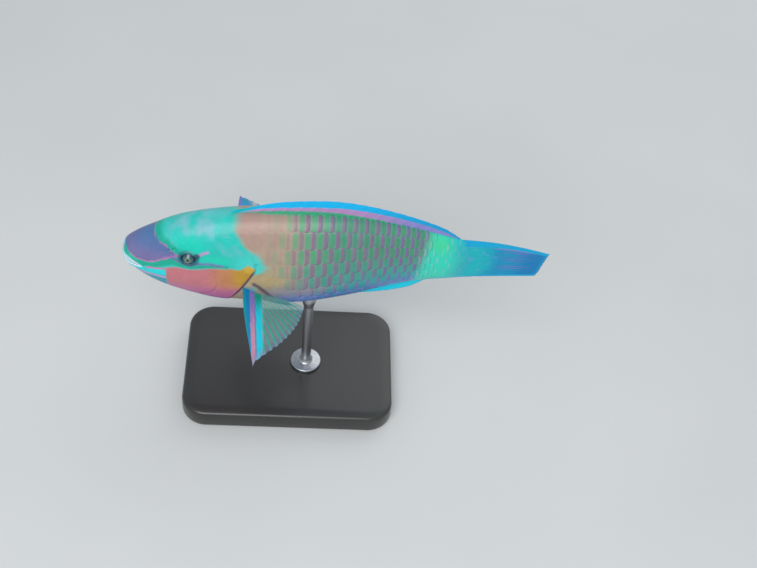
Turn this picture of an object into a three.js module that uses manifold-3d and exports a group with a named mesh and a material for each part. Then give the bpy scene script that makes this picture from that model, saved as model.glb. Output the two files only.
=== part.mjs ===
// A parrotfish in swimming pose, a still life-size model carried on one rod above a flat base.
// Millimetres, +Z up. The origin is the middle of the underside of the base.
// The fish heads towards -X and its left side faces -Y.
// Body places are given as s, the distance behind the tip of the snout, y, to the fish's right,
// and z, the height above the body's long axis.
import * as THREE from "three";
import { mergeVertices } from "three/addons/utils/BufferGeometryUtils.js";
import Module from "manifold-3d";

const wasm = await Module();
wasm.setup();

// Driving dimensions of the body
const BODY_LENGTH = 232; // snout to the root of the tail fin
const AXIS_HEIGHT = 132; // long axis above the floor
const SNOUT_X = -112; // place of the snout along X, which puts the weight over the base
const GAP = 0.3; // clearance between touching pieces

// Profiles of the body on eleven even steps of the square root of s over the body's length
const BACK = [-6, 4.4, 10.6, 17.6, 26.2, 32.4, 36.6, 37.8, 37.2, 30.0, 16.6];
const BELLY = [-6, -9.5, -17, -26, -34, -40, -42, -43.5, -35.5, -21.5, -16.2];
const HALF_WIDTH = [0, 6.2, 11, 14.8, 17.8, 20, 20.8, 19.8, 16, 9.6, 2.6];
const SIDE_FULLNESS = 0.92; // below 1 makes the flanks fuller than an ellipse

// Head
const EYE = { s: 45, z: 8.7, radius: 4.9, halfThickness: 4.1, sunk: 2.5 };
const ORBIT_RING = { radius: 5.1, tube: 0.9 };
const NOSTRILS = [{ s: 32.5, z: 12.6, radius: 0.75 }, { s: 36.2, z: 13.8, radius: 1.0 }];
const MOUTH = { corner: 17, cornerZ: -5.2, upperLipZ: 0.8, lowerLipZ: -8.4, bite: -4.4, depth: 4.5 };
const LIP_RADIUS = 1.5;
const GILL = {
  tip: 88, curve: 0.0135, cornerZ: 4, slant: 0.49, top: 10, bottom: -33, front: 58, thick: 2.4, lift: 0.9,
};
const STALK_START = 192;

// Fins
const FIN_EDGE = 0.55; // thickness of a fin near its edge
const RAY_RELIEF = 0.4; // how far a ray stands out of the membrane, both faces together
const PECTORAL = {
  rays: 14, rootS: [80, 91], rootZ: [-14.5, -25], droop: [11, 22], arch: 2.3,
  left: { sweep: [9.5, 76], length: [58, 30], fall: 0.6 },
  right: { sweep: [-8, 48], length: [57, 44], fall: 1 },
};
const PELVIC = { rays: 6, rootS: [82, 88], rootY: [7.5, 2.6], length: [33, 22] };

// Stand
const BASE = { length: 150, width: 100, height: 14, corner: 18, edge: 1.5 };
const ROD = { radius: 3.5, s: 124, sides: 18, flangeRadius: 11, flangeHeight: 3 };

const rad = (degrees) => (degrees * Math.PI) / 180;
const mix = (a, b, t) => a + (b - a) * t;
const ramp = (a, b, x) => {
  const t = Math.min(1, Math.max(0, (x - a) / (b - a)));
  return t * t * (3 - 2 * t);
};

// A smooth curve through even steps of values, read at t from 0 to 1.
function along(values, t) {
  const n = values.length - 1;
  const f = Math.min(1, Math.max(0, t)) * n;
  const i = Math.min(Math.floor(f), n - 1);
  const u = f - i;
  const b = values[i];
  const c = values[i + 1];
  const a = i > 0 ? values[i - 1] : 2 * b - c;
  const d = i + 2 <= n ? values[i + 2] : 2 * c - b;
  return b + 0.5 * u * (c - a + u * (2 * a - 5 * b + 4 * c - d + u * (3 * (b - c) + d - a)));
}

const backAt = (s) => along(BACK, Math.sqrt(Math.max(0, s) / BODY_LENGTH));
const bellyAt = (s) => along(BELLY, Math.sqrt(Math.max(0, s) / BODY_LENGTH));
const halfWidthAt = (s) => along(HALF_WIDTH, Math.sqrt(Math.max(0, s) / BODY_LENGTH));

// The point of the skin at s and at angle a round the body: 0 is the belly, a quarter turn the left
// flank and half a turn the back.
function skinPoint(s, a) {
  const middle = (backAt(s) + bellyAt(s)) / 2;
  const half = (backAt(s) - bellyAt(s)) / 2;
  const side = Math.sin(a);
  const y = -halfWidthAt(s) * Math.sign(side) * Math.abs(side) ** SIDE_FULLNESS;
  return new THREE.Vector3(s, y, middle - half * Math.cos(a));
}

// The outward normal of the skin, from small steps along and round it.
function skinNormal(s, a) {
  if (s < 0.02) return new THREE.Vector3(-1, 0, 0);
  const step = 0.01;
  const alongBody = skinPoint(s + step, a).sub(skinPoint(s - step, a));
  const round = skinPoint(s, a + step).sub(skinPoint(s, a - step));
  return alongBody.cross(round).normalize();
}

// The angle at which the left flank has height z.
function angleAt(s, z) {
  const middle = (backAt(s) + bellyAt(s)) / 2;
  const half = (backAt(s) - bellyAt(s)) / 2;
  return Math.acos(Math.min(1, Math.max(-1, (middle - z) / half)));
}

// A point of the flank at height z, on the left (side -1) or right (side 1), moved out by offset.
function flank(s, z, side, offset = 0) {
  const a = angleAt(s, z);
  const p = skinPoint(s, a).addScaledVector(skinNormal(s, a), offset);
  return new THREE.Vector3(p.x, side * Math.abs(p.y), p.z);
}

// A closed solid from rings of points: each ring has the same count, and the first and last are closed
// by one middle point each.
function lofted(rings) {
  const count = rings[0].length;
  const vertices = rings.flat();
  const faces = [];
  for (let i = 0; i + 1 < rings.length; i++)
    for (let j = 0; j < count; j++) {
      const a = i * count + j;
      const b = i * count + ((j + 1) % count);
      faces.push([a, b, b + count], [a, b + count, a + count]);
    }
  for (const [ring, flip] of [[0, true], [rings.length - 1, false]]) {
    const middle = new THREE.Vector3();
    rings[ring].forEach((p) => middle.addScaledVector(p, 1 / count));
    const m = vertices.push(middle) - 1;
    for (let j = 0; j < count; j++) {
      const a = ring * count + j;
      const b = ring * count + ((j + 1) % count);
      faces.push(flip ? [b, a, m] : [a, b, m]);
    }
  }
  return solidFrom(vertices, faces);
}

function solidFrom(vertices, faces) {
  const mesh = () =>
    new wasm.Manifold(
      new wasm.Mesh({
        numProp: 3,
        vertProperties: new Float32Array(vertices.flatMap((p) => [p.x, p.y, p.z])),
        triVerts: new Uint32Array(faces.flat()),
      }),
    );
  const made = mesh();
  if (made.volume() > 0) return made;
  faces.forEach((f) => f.reverse());
  return mesh();
}

// A three.js geometry as a solid.
function solidOf(geometry) {
  const bare = geometry.index ? geometry.toNonIndexed() : geometry.clone();
  bare.deleteAttribute("normal");
  bare.deleteAttribute("uv");
  const merged = mergeVertices(bare, 1e-4);
  return new wasm.Manifold(
    new wasm.Mesh({
      numProp: 3,
      vertProperties: merged.attributes.position.array,
      triVerts: new Uint32Array(merged.index.array),
    }),
  );
}

// The body as a closed solid, its skin moved out by offset(s), closer stations towards the snout.
function bodySolid(stations, round, offset = () => 0) {
  const rings = [];
  for (let i = 1; i <= stations; i++) {
    const s = BODY_LENGTH * (i / stations) ** 1.5;
    const ring = [];
    for (let j = 0; j < round; j++) {
      const a = (2 * Math.PI * j) / round;
      ring.push(skinPoint(s, a).addScaledVector(skinNormal(s, a), offset(s)));
    }
    rings.push(ring);
  }
  return lofted(rings);
}

// An outline in the side view, as [s, z] pairs, carried through the body from y0 to y1.
function sidePrism(outline, y0 = -80, y1 = 80) {
  const shape = new THREE.Shape(outline.map(([s, z]) => new THREE.Vector2(s, z)));
  const geometry = new THREE.ExtrudeGeometry(shape, { depth: y1 - y0, bevelEnabled: false });
  return solidOf(geometry.rotateX(Math.PI / 2).translate(0, y1, 0));
}

// The largest closed surface of a solid.
function largest(solid) {
  return solid.decompose().sort((a, b) => b.volume() - a.volume())[0];
}

// The rear edge of the gill cover in the side view: s for a height z. It bends round above its corner and
// slants forwards in a straight line below it.
const gillEdge = (z) =>
  GILL.tip - (z > GILL.cornerZ ? GILL.curve * z * z : 0.2 + GILL.slant * (GILL.cornerZ - z));

function gillEdgeLine(z0, z1, shift, steps = 14) {
  return Array.from({ length: steps + 1 }, (_, i) => {
    const z = mix(z0, z1, i / steps);
    return [gillEdge(z) + shift, z];
  });
}

// A round bar of varying radius along points, pointed at both ends.
function roll(points, radius, sides = 8) {
  const rings = points.map((p, i) => {
    const before = points[Math.max(0, i - 1)];
    const after = points[Math.min(points.length - 1, i + 1)];
    const forward = after.clone().sub(before).normalize();
    const u = new THREE.Vector3(0, 0, 1).addScaledVector(forward, -forward.z).normalize();
    const v = forward.clone().cross(u);
    const r = radius * Math.sqrt(Math.max(0.02, Math.sin((Math.PI * (i + 0.2)) / (points.length - 0.6))));
    return Array.from({ length: sides }, (_, k) => {
      const a = (2 * Math.PI * k) / sides;
      return p.clone().addScaledVector(u, r * Math.cos(a)).addScaledVector(v, r * Math.sin(a));
    });
  });
  return lofted(rings);
}

// The line of a lip from the left corner of the mouth, round the front, to the right corner.
function lipLine(heightAt, inset) {
  const steps = 11;
  const front = heightAt(0) > -6 ? 0.9 : 2.9;
  const left = Array.from({ length: steps }, (_, i) => {
    const s = MOUTH.corner * (1 - i / steps) ** 1.7 + front;
    return flank(s, heightAt(s), -1, -inset);
  });
  const right = left.map((p) => new THREE.Vector3(p.x, -p.y, p.z)).reverse();
  return [...left, ...right];
}

const upperLipAt = (s) => mix(MOUTH.upperLipZ, MOUTH.cornerZ + 0.4, (s / MOUTH.corner) ** 1.3);
const lowerLipAt = (s) => mix(MOUTH.lowerLipZ, MOUTH.cornerZ - 0.4, (s / MOUTH.corner) ** 1.3);

// The opening between the lips in the side view, grown by grow.
function mouthOutline(grow = 0) {
  const steps = 8;
  const s = (i) => (MOUTH.corner * i) / steps;
  const upper = Array.from({ length: steps }, (_, i) => [s(i), upperLipAt(s(i)) + grow]);
  const lower = Array.from({ length: steps }, (_, i) => [s(i), lowerLipAt(s(i)) - grow]).reverse();
  return [[-8, MOUTH.upperLipZ + grow], ...upper, [MOUTH.corner + grow, MOUTH.cornerZ], ...lower,
    [-8, MOUTH.lowerLipZ - grow]];
}

// A fin as one closed leaf: span(u) gives a ray's root, its tip and the fin's normal there, for u from
// the first ray to the last, and how far the ray arches between them. Rays stand out as ridges on both
// faces.
function finSolid(rays, span, rootThickness, steps = 7, bow = 0) {
  const columns = 2 * (rays - 1);
  const faces = [];
  const vertices = [];
  const sides = [1, -1];
  for (const side of sides)
    for (let i = 0; i <= columns; i++) {
      const { root, tip, normal, arch } = span(i / columns);
      const onRay = i % 2 === 0;
      for (let j = 0; j <= steps; j++) {
        const v = j / steps;
        const reach = onRay || j < steps ? v : v - 0.02;
        const p = root.clone().lerp(tip, reach);
        p.addScaledVector(normal, bow * Math.sin(Math.PI * v) * v);
        if (arch) p.addScaledVector(arch, Math.sin(Math.PI * v));
        const thin = mix(rootThickness, FIN_EDGE, Math.min(1, v * 1.6));
        const ridge = onRay ? RAY_RELIEF * (1 - 0.6 * v) : 0;
        vertices.push(p.addScaledVector(normal, (side * (thin + ridge)) / 2));
      }
    }
  const at = (k, i, j) => k * (columns + 1) * (steps + 1) + i * (steps + 1) + j;
  for (let k = 0; k < 2; k++)
    for (let i = 0; i < columns; i++)
      for (let j = 0; j < steps; j++) {
        const quad = [at(k, i, j), at(k, i + 1, j), at(k, i + 1, j + 1), at(k, i, j + 1)];
        if (k) faces.push([quad[0], quad[2], quad[1]], [quad[0], quad[3], quad[2]]);
        else faces.push([quad[0], quad[1], quad[2]], [quad[0], quad[2], quad[3]]);
      }
  const edge = [];
  for (let i = 0; i < columns; i++) edge.push([i, 0]);
  for (let j = 0; j < steps; j++) edge.push([columns, j]);
  for (let i = columns; i > 0; i--) edge.push([i, steps]);
  for (let j = steps; j > 0; j--) edge.push([0, j]);
  edge.forEach(([i, j], n) => {
    const [p, q] = edge[(n + 1) % edge.length];
    faces.push([at(0, i, j), at(1, i, j), at(1, p, q)], [at(0, i, j), at(1, p, q), at(0, p, q)]);
  });
  return solidFrom(vertices, faces);
}

const body = bodySolid(44, 36);
const bodyOutside = bodySolid(44, 36, () => GAP + 0.1);

// The body with its skin moved in by depth at the head and by less along the slim tail.
const coreSolid = (depth) => bodySolid(30, 20, (s) => -depth * (1 - 0.7 * ramp(90, 200, s)));
const bodyCore = coreSolid(GILL.thick);
const bodyCoreGap = coreSolid(GILL.thick + GAP);
const mouthCore = coreSolid(MOUTH.depth);
const mouthCoreGap = coreSolid(MOUTH.depth + GAP);

// The outline of a gill cover in the side view, grown by grow, and by rear at its rear edge.
function gillOutline(grow = 0, rear = grow) {
  const front = Array.from({ length: 9 }, (_, i) => {
    const t = i / 8;
    const z = mix(GILL.bottom - grow, GILL.top + grow, t);
    return [GILL.front - grow + 5 * Math.cos(Math.PI * t), z];
  });
  return [...gillEdgeLine(GILL.top + grow, GILL.bottom - grow, rear), ...front];
}

function orientedToFlank(solid, s, z, side, depth) {
  const a = angleAt(s, z);
  const n = skinNormal(s, a);
  n.y = side * Math.abs(n.y);
  const p = flank(s, z, side).addScaledVector(n, -depth);
  const turn = new THREE.Quaternion().setFromUnitVectors(new THREE.Vector3(0, 0, 1), n);
  const m = new THREE.Matrix4().compose(p, turn, new THREE.Vector3(1, 1, 1));
  return solid.transform(m.elements);
}

// An eyeball, flattened along its own axis, grown by grow.
function eyeSolid(side, grow = 0) {
  const ball = new THREE.SphereGeometry(EYE.radius + grow, 20, 10);
  const flat = (EYE.halfThickness + grow) / (EYE.radius + grow);
  ball.rotateX(Math.PI / 2).scale(1, 1, flat);
  return orientedToFlank(solidOf(ball), EYE.s, EYE.z, side, EYE.sunk);
}

function orbitRing(side) {
  const ring = new THREE.TorusGeometry(ORBIT_RING.radius, ORBIT_RING.tube, 6, 20);
  return orientedToFlank(solidOf(ring), EYE.s, EYE.z, side, 0.25);
}

function nostrilPit(side, { s, z, radius }) {
  const pit = new THREE.CylinderGeometry(radius, radius * 0.6, 3, 8).rotateX(Math.PI / 2);
  return orientedToFlank(solidOf(pit), s, z, side, 0.2);
}

const jawOutline = [
  [-8, MOUTH.bite - GAP / 2], [MOUTH.corner, MOUTH.cornerZ], [23, -12], [25, -24], [24, -50], [-8, -50],
];

function headAndJaw() {
  const whole = body
    .intersect(sidePrism([[-8, 60], [-8, -60], ...gillEdgeLine(-60, 60, 0, 28)]))
    .add(roll(lipLine(upperLipAt, 0.25), LIP_RADIUS));
  const jawHalf = sidePrism(jawOutline);
  const jawGap = sidePrism(
    [[-8, MOUTH.bite + GAP / 2], [MOUTH.corner, MOUTH.cornerZ + GAP], [23 + GAP, -12], [25 + GAP, -24],
      [24 + GAP, -50], [-8, -51]],
  );
  const opening = sidePrism(mouthOutline()).subtract(mouthCoreGap);
  let head = whole.subtract(jawGap).subtract(opening);
  const lowerLip = roll(lipLine(lowerLipAt, 0.25), LIP_RADIUS);
  const jaw = body.intersect(jawHalf).add(lowerLip.intersect(jawHalf)).subtract(opening);
  head = head.subtract(lowerLip.intersect(jawGap));
  for (const side of [-1, 1]) {
    const cover = sidePrism(gillOutline(GAP, 3), Math.min(0, side * 60), Math.max(0, side * 60));
    head = head.subtract(cover.subtract(bodyCoreGap));
    head = head.add(orbitRing(side)).subtract(eyeSolid(side, GAP));
    NOSTRILS.forEach((n) => (head = head.subtract(nostrilPit(side, n))));
  }
  return [largest(head), largest(jaw)];
}

// A tooth plate: the part of the mouth's opening over or under the bite, closer to the front than the
// corner, standing a little forward of the lips.
function beak(upper) {
  const { bite } = MOUTH;
  const rear = MOUTH.corner - 3.5;
  const half = upper
    ? [[-8, bite + GAP / 2], [rear, bite + GAP / 2 - 0.4], [rear, 6], [-8, 6]]
    : [[-8, bite - GAP / 2], [rear, bite - GAP / 2 - 0.4], [rear, -20], [-8, -20]];
  const shell = bodySolid(36, 28, (s) => Math.max(0, 1.1 - 0.07 * s));
  const lips = roll(lipLine(upperLipAt, 0.25), LIP_RADIUS + GAP)
    .add(roll(lipLine(lowerLipAt, 0.25), LIP_RADIUS + GAP));
  return largest(
    shell
      .subtract(mouthCore)
      .intersect(sidePrism(mouthOutline(-GAP)))
      .intersect(sidePrism(half))
      .subtract(lips),
  );
}

// The outer form of a gill cover, a plate whose rear edge stands proud of the flank, grown by grow.
function gillForm(side, grow = 0) {
  const outer = bodySolid(44, 36, (s) => grow + GILL.lift * ramp(GILL.front, GILL.tip - 4, s));
  return outer.intersect(sidePrism(gillOutline(grow), Math.min(0, side * 60), Math.max(0, side * 60)));
}

const gillCover = (side) => largest(gillForm(side).subtract(bodyCore));

function torso() {
  const region = sidePrism(
    [...gillEdgeLine(-60, 60, GAP, 28), [STALK_START, 60], [STALK_START, -60]],
  );
  return largest(body.intersect(region));
}

function tailStalk() {
  return largest(body.intersect(sidePrism(
    [[STALK_START + GAP, -60], [STALK_START + GAP, 60], [260, 60], [260, -60]],
  )));
}

const point = (s, y, z) => new THREE.Vector3(s, y, z);

// The dorsal fin, half folded: rays lie back, and the front spines lie flattest.
const DORSAL = { rays: 19, from: 68, to: 219 };
const DORSAL_HEIGHT = [2.6, 8.6, 11.2, 12.2, 11.6, 10.2, 8.2, 5.8, 1.8];
const DORSAL_RAKE = [22, 34, 42, 44, 44, 42, 38, 34, 30];

function dorsalFin() {
  const sunk = 2.2;
  return largest(finSolid(DORSAL.rays, (u) => {
    const s = mix(DORSAL.from, DORSAL.to, u);
    const height = along(DORSAL_HEIGHT, u);
    const run = height / Math.tan(rad(along(DORSAL_RAKE, u)));
    const lean = -0.8 * Math.sin(Math.PI * u);
    return {
      root: point(s, 0, backAt(s) - sunk),
      tip: point(s + run, lean, backAt(s) + height - (backAt(s) - backAt(s + run)) * 0.9),
      normal: point(0, 1, 0),
    };
  }, 1.8, 5).subtract(bodyOutside));
}

const ANAL = { rays: 12, from: 146, to: 198 };
const ANAL_DEPTH = [3.2, 6.4, 8.6, 9.0, 7.8, 5.2, 2.0];

function analFin() {
  const sunk = 2.2;
  return largest(finSolid(ANAL.rays, (u) => {
    const s = mix(ANAL.from, ANAL.to, u);
    const depth = along(ANAL_DEPTH, u);
    const run = depth * 1.3;
    return {
      root: point(s, 0, bellyAt(s) + sunk),
      tip: point(s + run, 0, bellyAt(s + run) - depth),
      normal: point(0, 1, 0),
    };
  }, 1.6, 5).subtract(bodyOutside));
}

// The tail fin, nearly closed: its rays run back side by side between an upper and a lower lobe.
const TAIL_RAYS = 15;
const TAIL_TIP_S = [281.5, 280.4, 279.4, 278.4, 277.6, 276.6, 275];
const TAIL_TIP_Z = [9.4, 6.6, 3.0, -0.8, -4.8, -8.8, -12.6];

function tailFin() {
  const rootTop = point(223, 0, 18.4);
  const rootBottom = point(224, 0, -16.0);
  return largest(finSolid(TAIL_RAYS, (u) => {
    const middle = Math.sin(Math.PI * u);
    const root = rootTop.clone().lerp(rootBottom, u);
    root.x += 5 * middle;
    return {
      root,
      tip: point(along(TAIL_TIP_S, u), 0, along(TAIL_TIP_Z, u)),
      normal: point(0, 1, 0),
      arch: point(0, 0, 2.6 * (1 - u) ** 3),
    };
  }, 2.6, 7).subtract(bodyOutside));
}

// A paired fin held out to the side: rays fan from the stiff front one to the short rear one.
function pectoralFin(side) {
  const { sweep, length: lengths, fall } = side < 0 ? PECTORAL.left : PECTORAL.right;
  return largest(finSolid(PECTORAL.rays, (u) => {
    const s = mix(...PECTORAL.rootS, u);
    const z = mix(...PECTORAL.rootZ, u);
    const back = rad(mix(...sweep, u ** 1.1));
    const down = rad(mix(...PECTORAL.droop, u));
    const length = mix(...lengths, u ** fall);
    const root = flank(s, z, side, -2.2);
    const tip = flank(s, z, side).add(point(
      length * Math.sin(back),
      side * length * Math.cos(back) * Math.cos(down),
      -length * Math.cos(back) * Math.sin(down),
    ));
    const ray = tip.clone().sub(root).normalize();
    const across = point(0.75, 0, -0.66);
    const normal = ray.cross(across).normalize();
    return { root, tip, normal, arch: point(-PECTORAL.arch * (1 - u) ** 2, 0, 0) };
  }, 1.9, 7, 2.5).subtract(bodyOutside).subtract(gillForm(side, GAP + 0.1)));
}

function pelvicFin(side) {
  return largest(finSolid(PELVIC.rays, (u) => {
    const s = mix(...PELVIC.rootS, u);
    const y = side * mix(...PELVIC.rootY, u);
    const length = mix(...PELVIC.length, u);
    const z = bellyAt(s) + 1.4 + (y * y) / 40;
    const tipS = s + length;
    return {
      root: point(s, y, z + 1.6),
      tip: point(tipS, y + side * 1.5, bellyAt(tipS) - 2.4 + (y * y) / 60),
      normal: point(0.08, side * -0.25, 1).normalize(),
    };
  }, 1.7, 6, -1.2).subtract(bodyOutside));
}

function standBase() {
  const { length, width, height, corner, edge } = BASE;
  const shape = new THREE.Shape();
  const x = length / 2 - edge;
  const y = width / 2 - edge;
  shape.moveTo(-x + corner, -y);
  shape.lineTo(x - corner, -y);
  shape.absarc(x - corner, -y + corner, corner, -Math.PI / 2, 0);
  shape.absarc(x - corner, y - corner, corner, 0, Math.PI / 2);
  shape.absarc(-x + corner, y - corner, corner, Math.PI / 2, Math.PI);
  shape.absarc(-x + corner, -y + corner, corner, Math.PI, 1.5 * Math.PI);
  return solidOf(new THREE.ExtrudeGeometry(shape, {
    depth: height - 2 * edge, bevelThickness: edge, bevelSize: edge, bevelSegments: 1, curveSegments: 5,
  }).translate(0, 0, edge));
}

// The rod stands on a low round flange, and its head is cut to the belly that it carries.
function standRod() {
  const { radius, s, sides, flangeRadius, flangeHeight } = ROD;
  const foot = BASE.height + 0.3;
  const top = AXIS_HEIGHT + bellyAt(s) + 3;
  const profile = [[0, foot], [flangeRadius, foot], [flangeRadius, foot + flangeHeight - 1],
    [flangeRadius - 1, foot + flangeHeight], [radius + 1, foot + flangeHeight], [radius, foot + flangeHeight + 1],
    [radius, top - 12], [radius + 1.6, top - 7], [radius + 1.6, top], [0, top]];
  const rod = new THREE.LatheGeometry(profile.map(([r, z]) => new THREE.Vector2(r, z)), sides);
  rod.rotateX(Math.PI / 2);
  const solid = solidOf(rod.translate(SNOUT_X + s, 0, 0));
  return solid.subtract(bodyOutside.translate([SNOUT_X, 0, AXIS_HEIGHT]));
}

const MATERIALS = {
  skin: { color: 0x2fb3a0, roughness: 0.4, metalness: 0.05 },
  cheek: { color: 0xc98a5a, roughness: 0.4, metalness: 0.05 },
  fin: { color: 0x1597cf, roughness: 0.42, metalness: 0 },
  eye: { color: 0x27343a, roughness: 0.1, metalness: 0 },
  tooth: { color: 0xcfe6e6, roughness: 0.3, metalness: 0 },
  base: { color: 0x2b2622, roughness: 0.45, metalness: 0 },
  rod: { color: 0xb9bcc0, roughness: 0.28, metalness: 1 },
};

const model = new THREE.Group();
const fish = new THREE.Group();
fish.position.set(SNOUT_X, 0, AXIS_HEIGHT);
model.add(fish);

function addNode(group, name, solid, material) {
  const { vertProperties, triVerts, numProp } = solid.getMesh();
  const positions = new Float32Array((vertProperties.length / numProp) * 3);
  for (let i = 0; i < positions.length / 3; i++)
    for (let k = 0; k < 3; k++) positions[3 * i + k] = vertProperties[numProp * i + k];
  const geometry = new THREE.BufferGeometry();
  geometry.setAttribute("position", new THREE.BufferAttribute(positions, 3));
  geometry.setIndex(new THREE.BufferAttribute(new Uint32Array(triVerts), 1));
  const mesh = new THREE.Mesh(geometry, new THREE.MeshStandardMaterial(MATERIALS[material]));
  mesh.name = name;
  group.add(mesh);
}

const [head, jaw] = headAndJaw();
addNode(fish, "head", head, "skin");
addNode(fish, "lower_jaw", jaw, "skin");
addNode(fish, "torso", torso(), "skin");
addNode(fish, "tail_stalk", tailStalk(), "skin");
addNode(fish, "upper_beak", beak(true), "tooth");
addNode(fish, "lower_beak", beak(false), "tooth");
addNode(fish, "dorsal_fin", dorsalFin(), "fin");
addNode(fish, "anal_fin", analFin(), "fin");
addNode(fish, "tail_fin", tailFin(), "fin");
for (const [side, word] of [[-1, "left"], [1, "right"]]) {
  addNode(fish, `gill_cover_${word}`, gillCover(side), "cheek");
  addNode(fish, `eye_${word}`, eyeSolid(side), "eye");
  addNode(fish, `pectoral_fin_${word}`, pectoralFin(side), "fin");
  addNode(fish, `pelvic_fin_${word}`, pelvicFin(side), "fin");
}
addNode(model, "stand_rod", standRod(), "rod");
addNode(model, "stand_base", standBase(), "base");

export default model;
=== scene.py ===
"""A parrotfish in swimming pose, a life-size museum model on a plain stand: the finish of every surface.

Blender works in metres with +Z up. The fish is worked out in millimetres: s is the distance behind the tip
of the snout, y runs to the fish's right and z is the height above the body's long axis.
"""
import math

import bmesh
import bpy
import numpy as np
from mathutils import Matrix, Vector


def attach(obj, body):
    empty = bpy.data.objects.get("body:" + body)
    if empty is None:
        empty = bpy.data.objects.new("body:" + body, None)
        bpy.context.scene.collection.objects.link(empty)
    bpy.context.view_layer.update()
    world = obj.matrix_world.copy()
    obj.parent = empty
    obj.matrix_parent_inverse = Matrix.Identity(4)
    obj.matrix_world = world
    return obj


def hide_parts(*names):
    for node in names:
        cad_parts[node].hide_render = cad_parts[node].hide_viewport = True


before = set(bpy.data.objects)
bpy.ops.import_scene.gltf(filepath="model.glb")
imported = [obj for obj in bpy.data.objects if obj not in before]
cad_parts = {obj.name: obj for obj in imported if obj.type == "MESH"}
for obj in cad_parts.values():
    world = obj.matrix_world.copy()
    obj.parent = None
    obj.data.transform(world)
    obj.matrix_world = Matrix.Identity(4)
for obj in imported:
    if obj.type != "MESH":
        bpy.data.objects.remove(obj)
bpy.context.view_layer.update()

# Driving dimensions of the body in millimetres, as in the solids
MM = 0.001
BODY_LENGTH = 232.0
AXIS_HEIGHT = 132.0
SNOUT_X = -112.0
BACK = [-6, 4.4, 10.6, 17.6, 26.2, 32.4, 36.6, 37.8, 37.2, 30.0, 16.6]
BELLY = [-6, -9.5, -17, -26, -34, -40, -42, -43.5, -35.5, -21.5, -16.2]
HALF_WIDTH = [0, 6.2, 11, 14.8, 17.8, 20, 20.8, 19.8, 16, 9.6, 2.6]
SIDE_FULLNESS = 0.92
EYE_S, EYE_Z, EYE_RADIUS, EYE_HALF_DEPTH, EYE_BULGE, EYE_SUNK = 45.0, 8.7, 4.9, 4.1, 0.45, 2.5
MOUTH_CORNER, MOUTH_CORNER_Z = 17.0, -5.2
UPPER_LIP_Z, LOWER_LIP_Z, BITE_Z = 2.0, -8.4, -4.4
BEAK_THICKNESS = 1.9
GILL_TIP, GILL_CURVE, GILL_CORNER_Z, GILL_SLANT = 88.0, 0.0135, 4.0, 0.49
SIDES = ((-1, "left"), (1, "right"))

# The skin's grid: most of its stations lie on the head
STATIONS, ROUND = 408, 240
HEAD_LENGTH, HEAD_SHARE, REST_SHARE = 98.0, 0.8, 0.2

# Scales: the pitch along a row falls from each scale to the next, and front and rear are shares of it
ROWS, COLUMNS = 8, 27
ROW_OFFSET = 0.58
FIRST_SCALE, LAST_SCALE = 84.0, 225.0
SCALE_PITCH, PITCH_FALL = 8.7, 0.17
SCALE_FRONT, SCALE_REAR, SCALE_ROUNDING = 0.72, 0.58, 0.22
SCALE_HALF_HEIGHT = 0.575
SCALE_RELIEF, SCALE_ROOT = 0.25, 0.5
SCALE_LENGTHWISE, SCALE_ACROSS = 9, 11

# Fins: heights and angles run from the first ray to the last, and -1 and 1 are the left and the right fin
BACK_FIN_S = (68.0, 219.0)
BACK_FIN_HEIGHT = [2.6, 8.6, 11.2, 12.2, 11.6, 10.2, 8.2, 5.6, 0.7]
BACK_FIN_RAKE = [22, 34, 42, 44, 44, 42, 38, 34, 30]
UNDER_FIN_S = (146.0, 198.0)
UNDER_FIN_DEPTH = [3.2, 6.4, 8.6, 9.0, 7.8, 5.2, 2.0]
TAIL_ROOT_S, TAIL_ROOT_Z = (219.5, 221.5), (19.3, -16.0)
TAIL_TIP_S = [281.5, 280.4, 279.4, 278.4, 277.6, 276.6, 275]
TAIL_TIP_Z = [9.4, 6.6, 3.0, -0.8, -4.8, -8.8, -12.6]
CHEST_FIN_S, CHEST_FIN_Z, CHEST_FIN_DROOP, CHEST_FIN_ARCH = (80.0, 91.0), (-14.5, -25.0), (11.0, 22.0), 2.3
CHEST_FIN_SWEEP = {-1: (9.5, 76), 1: (-8, 48)}
CHEST_FIN_LENGTH = {-1: (58, 30), 1: (57, 44)}
CHEST_FIN_FALL = {-1: 0.6, 1: 1.0}
BELLY_FIN_S, BELLY_FIN_Y, BELLY_FIN_LENGTH = (82.0, 88.0), (7.5, 2.6), (33.0, 22.0)

# Stand: the base's rings are pairs of inset and height
BASE_LENGTH, BASE_WIDTH, BASE_HEIGHT, BASE_CORNER = 150.0, 100.0, 14.0, 18.0
BASE_RINGS = [(2.2, 0.0), (1.0, 0.25), (0.3, 0.9), (0, 1.8), (0, 11.2), (0.4, 12.6), (1.2, 13.5), (2.4, 14.0),
              (9, 14.0), (25, 14.0), (44, 14.0)]
BASE_TURNS = 160
ROD_S, ROD_RADIUS, ROD_HEAD_RADIUS, FLANGE_RADIUS, ROD_TURNS = 124.0, 3.5, 5.1, 11.0, 64

# Studio: each light's place in metres, size and power, and the camera's angles in degrees
LIGHTS = (("key", (-0.3, -0.85, 1.1), 0.9, 11.5), ("fill", (0.6, 0.8, 0.9), 1.2, 4.0))
LIGHT_AIM = Vector((0, 0, 0.12))
SURROUND, SURROUND_STRENGTH = (0.86, 0.93, 1.0, 1), 0.55
CAMERA_AROUND, CAMERA_UP, CAMERA_ROLL, CAMERA_DISTANCE = -6.0, 49.0, 7.0, 800.0
IMAGE_WIDTH, IMAGE_HEIGHT, PIXELS_PER_MM = 757.0, 568.0, 1.514
TARGET_S, TARGET_PIXEL = 140.0, (336.0, 254.5)
SENSOR_WIDTH = 36.0

RANDOM = np.random.default_rng(7)


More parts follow.
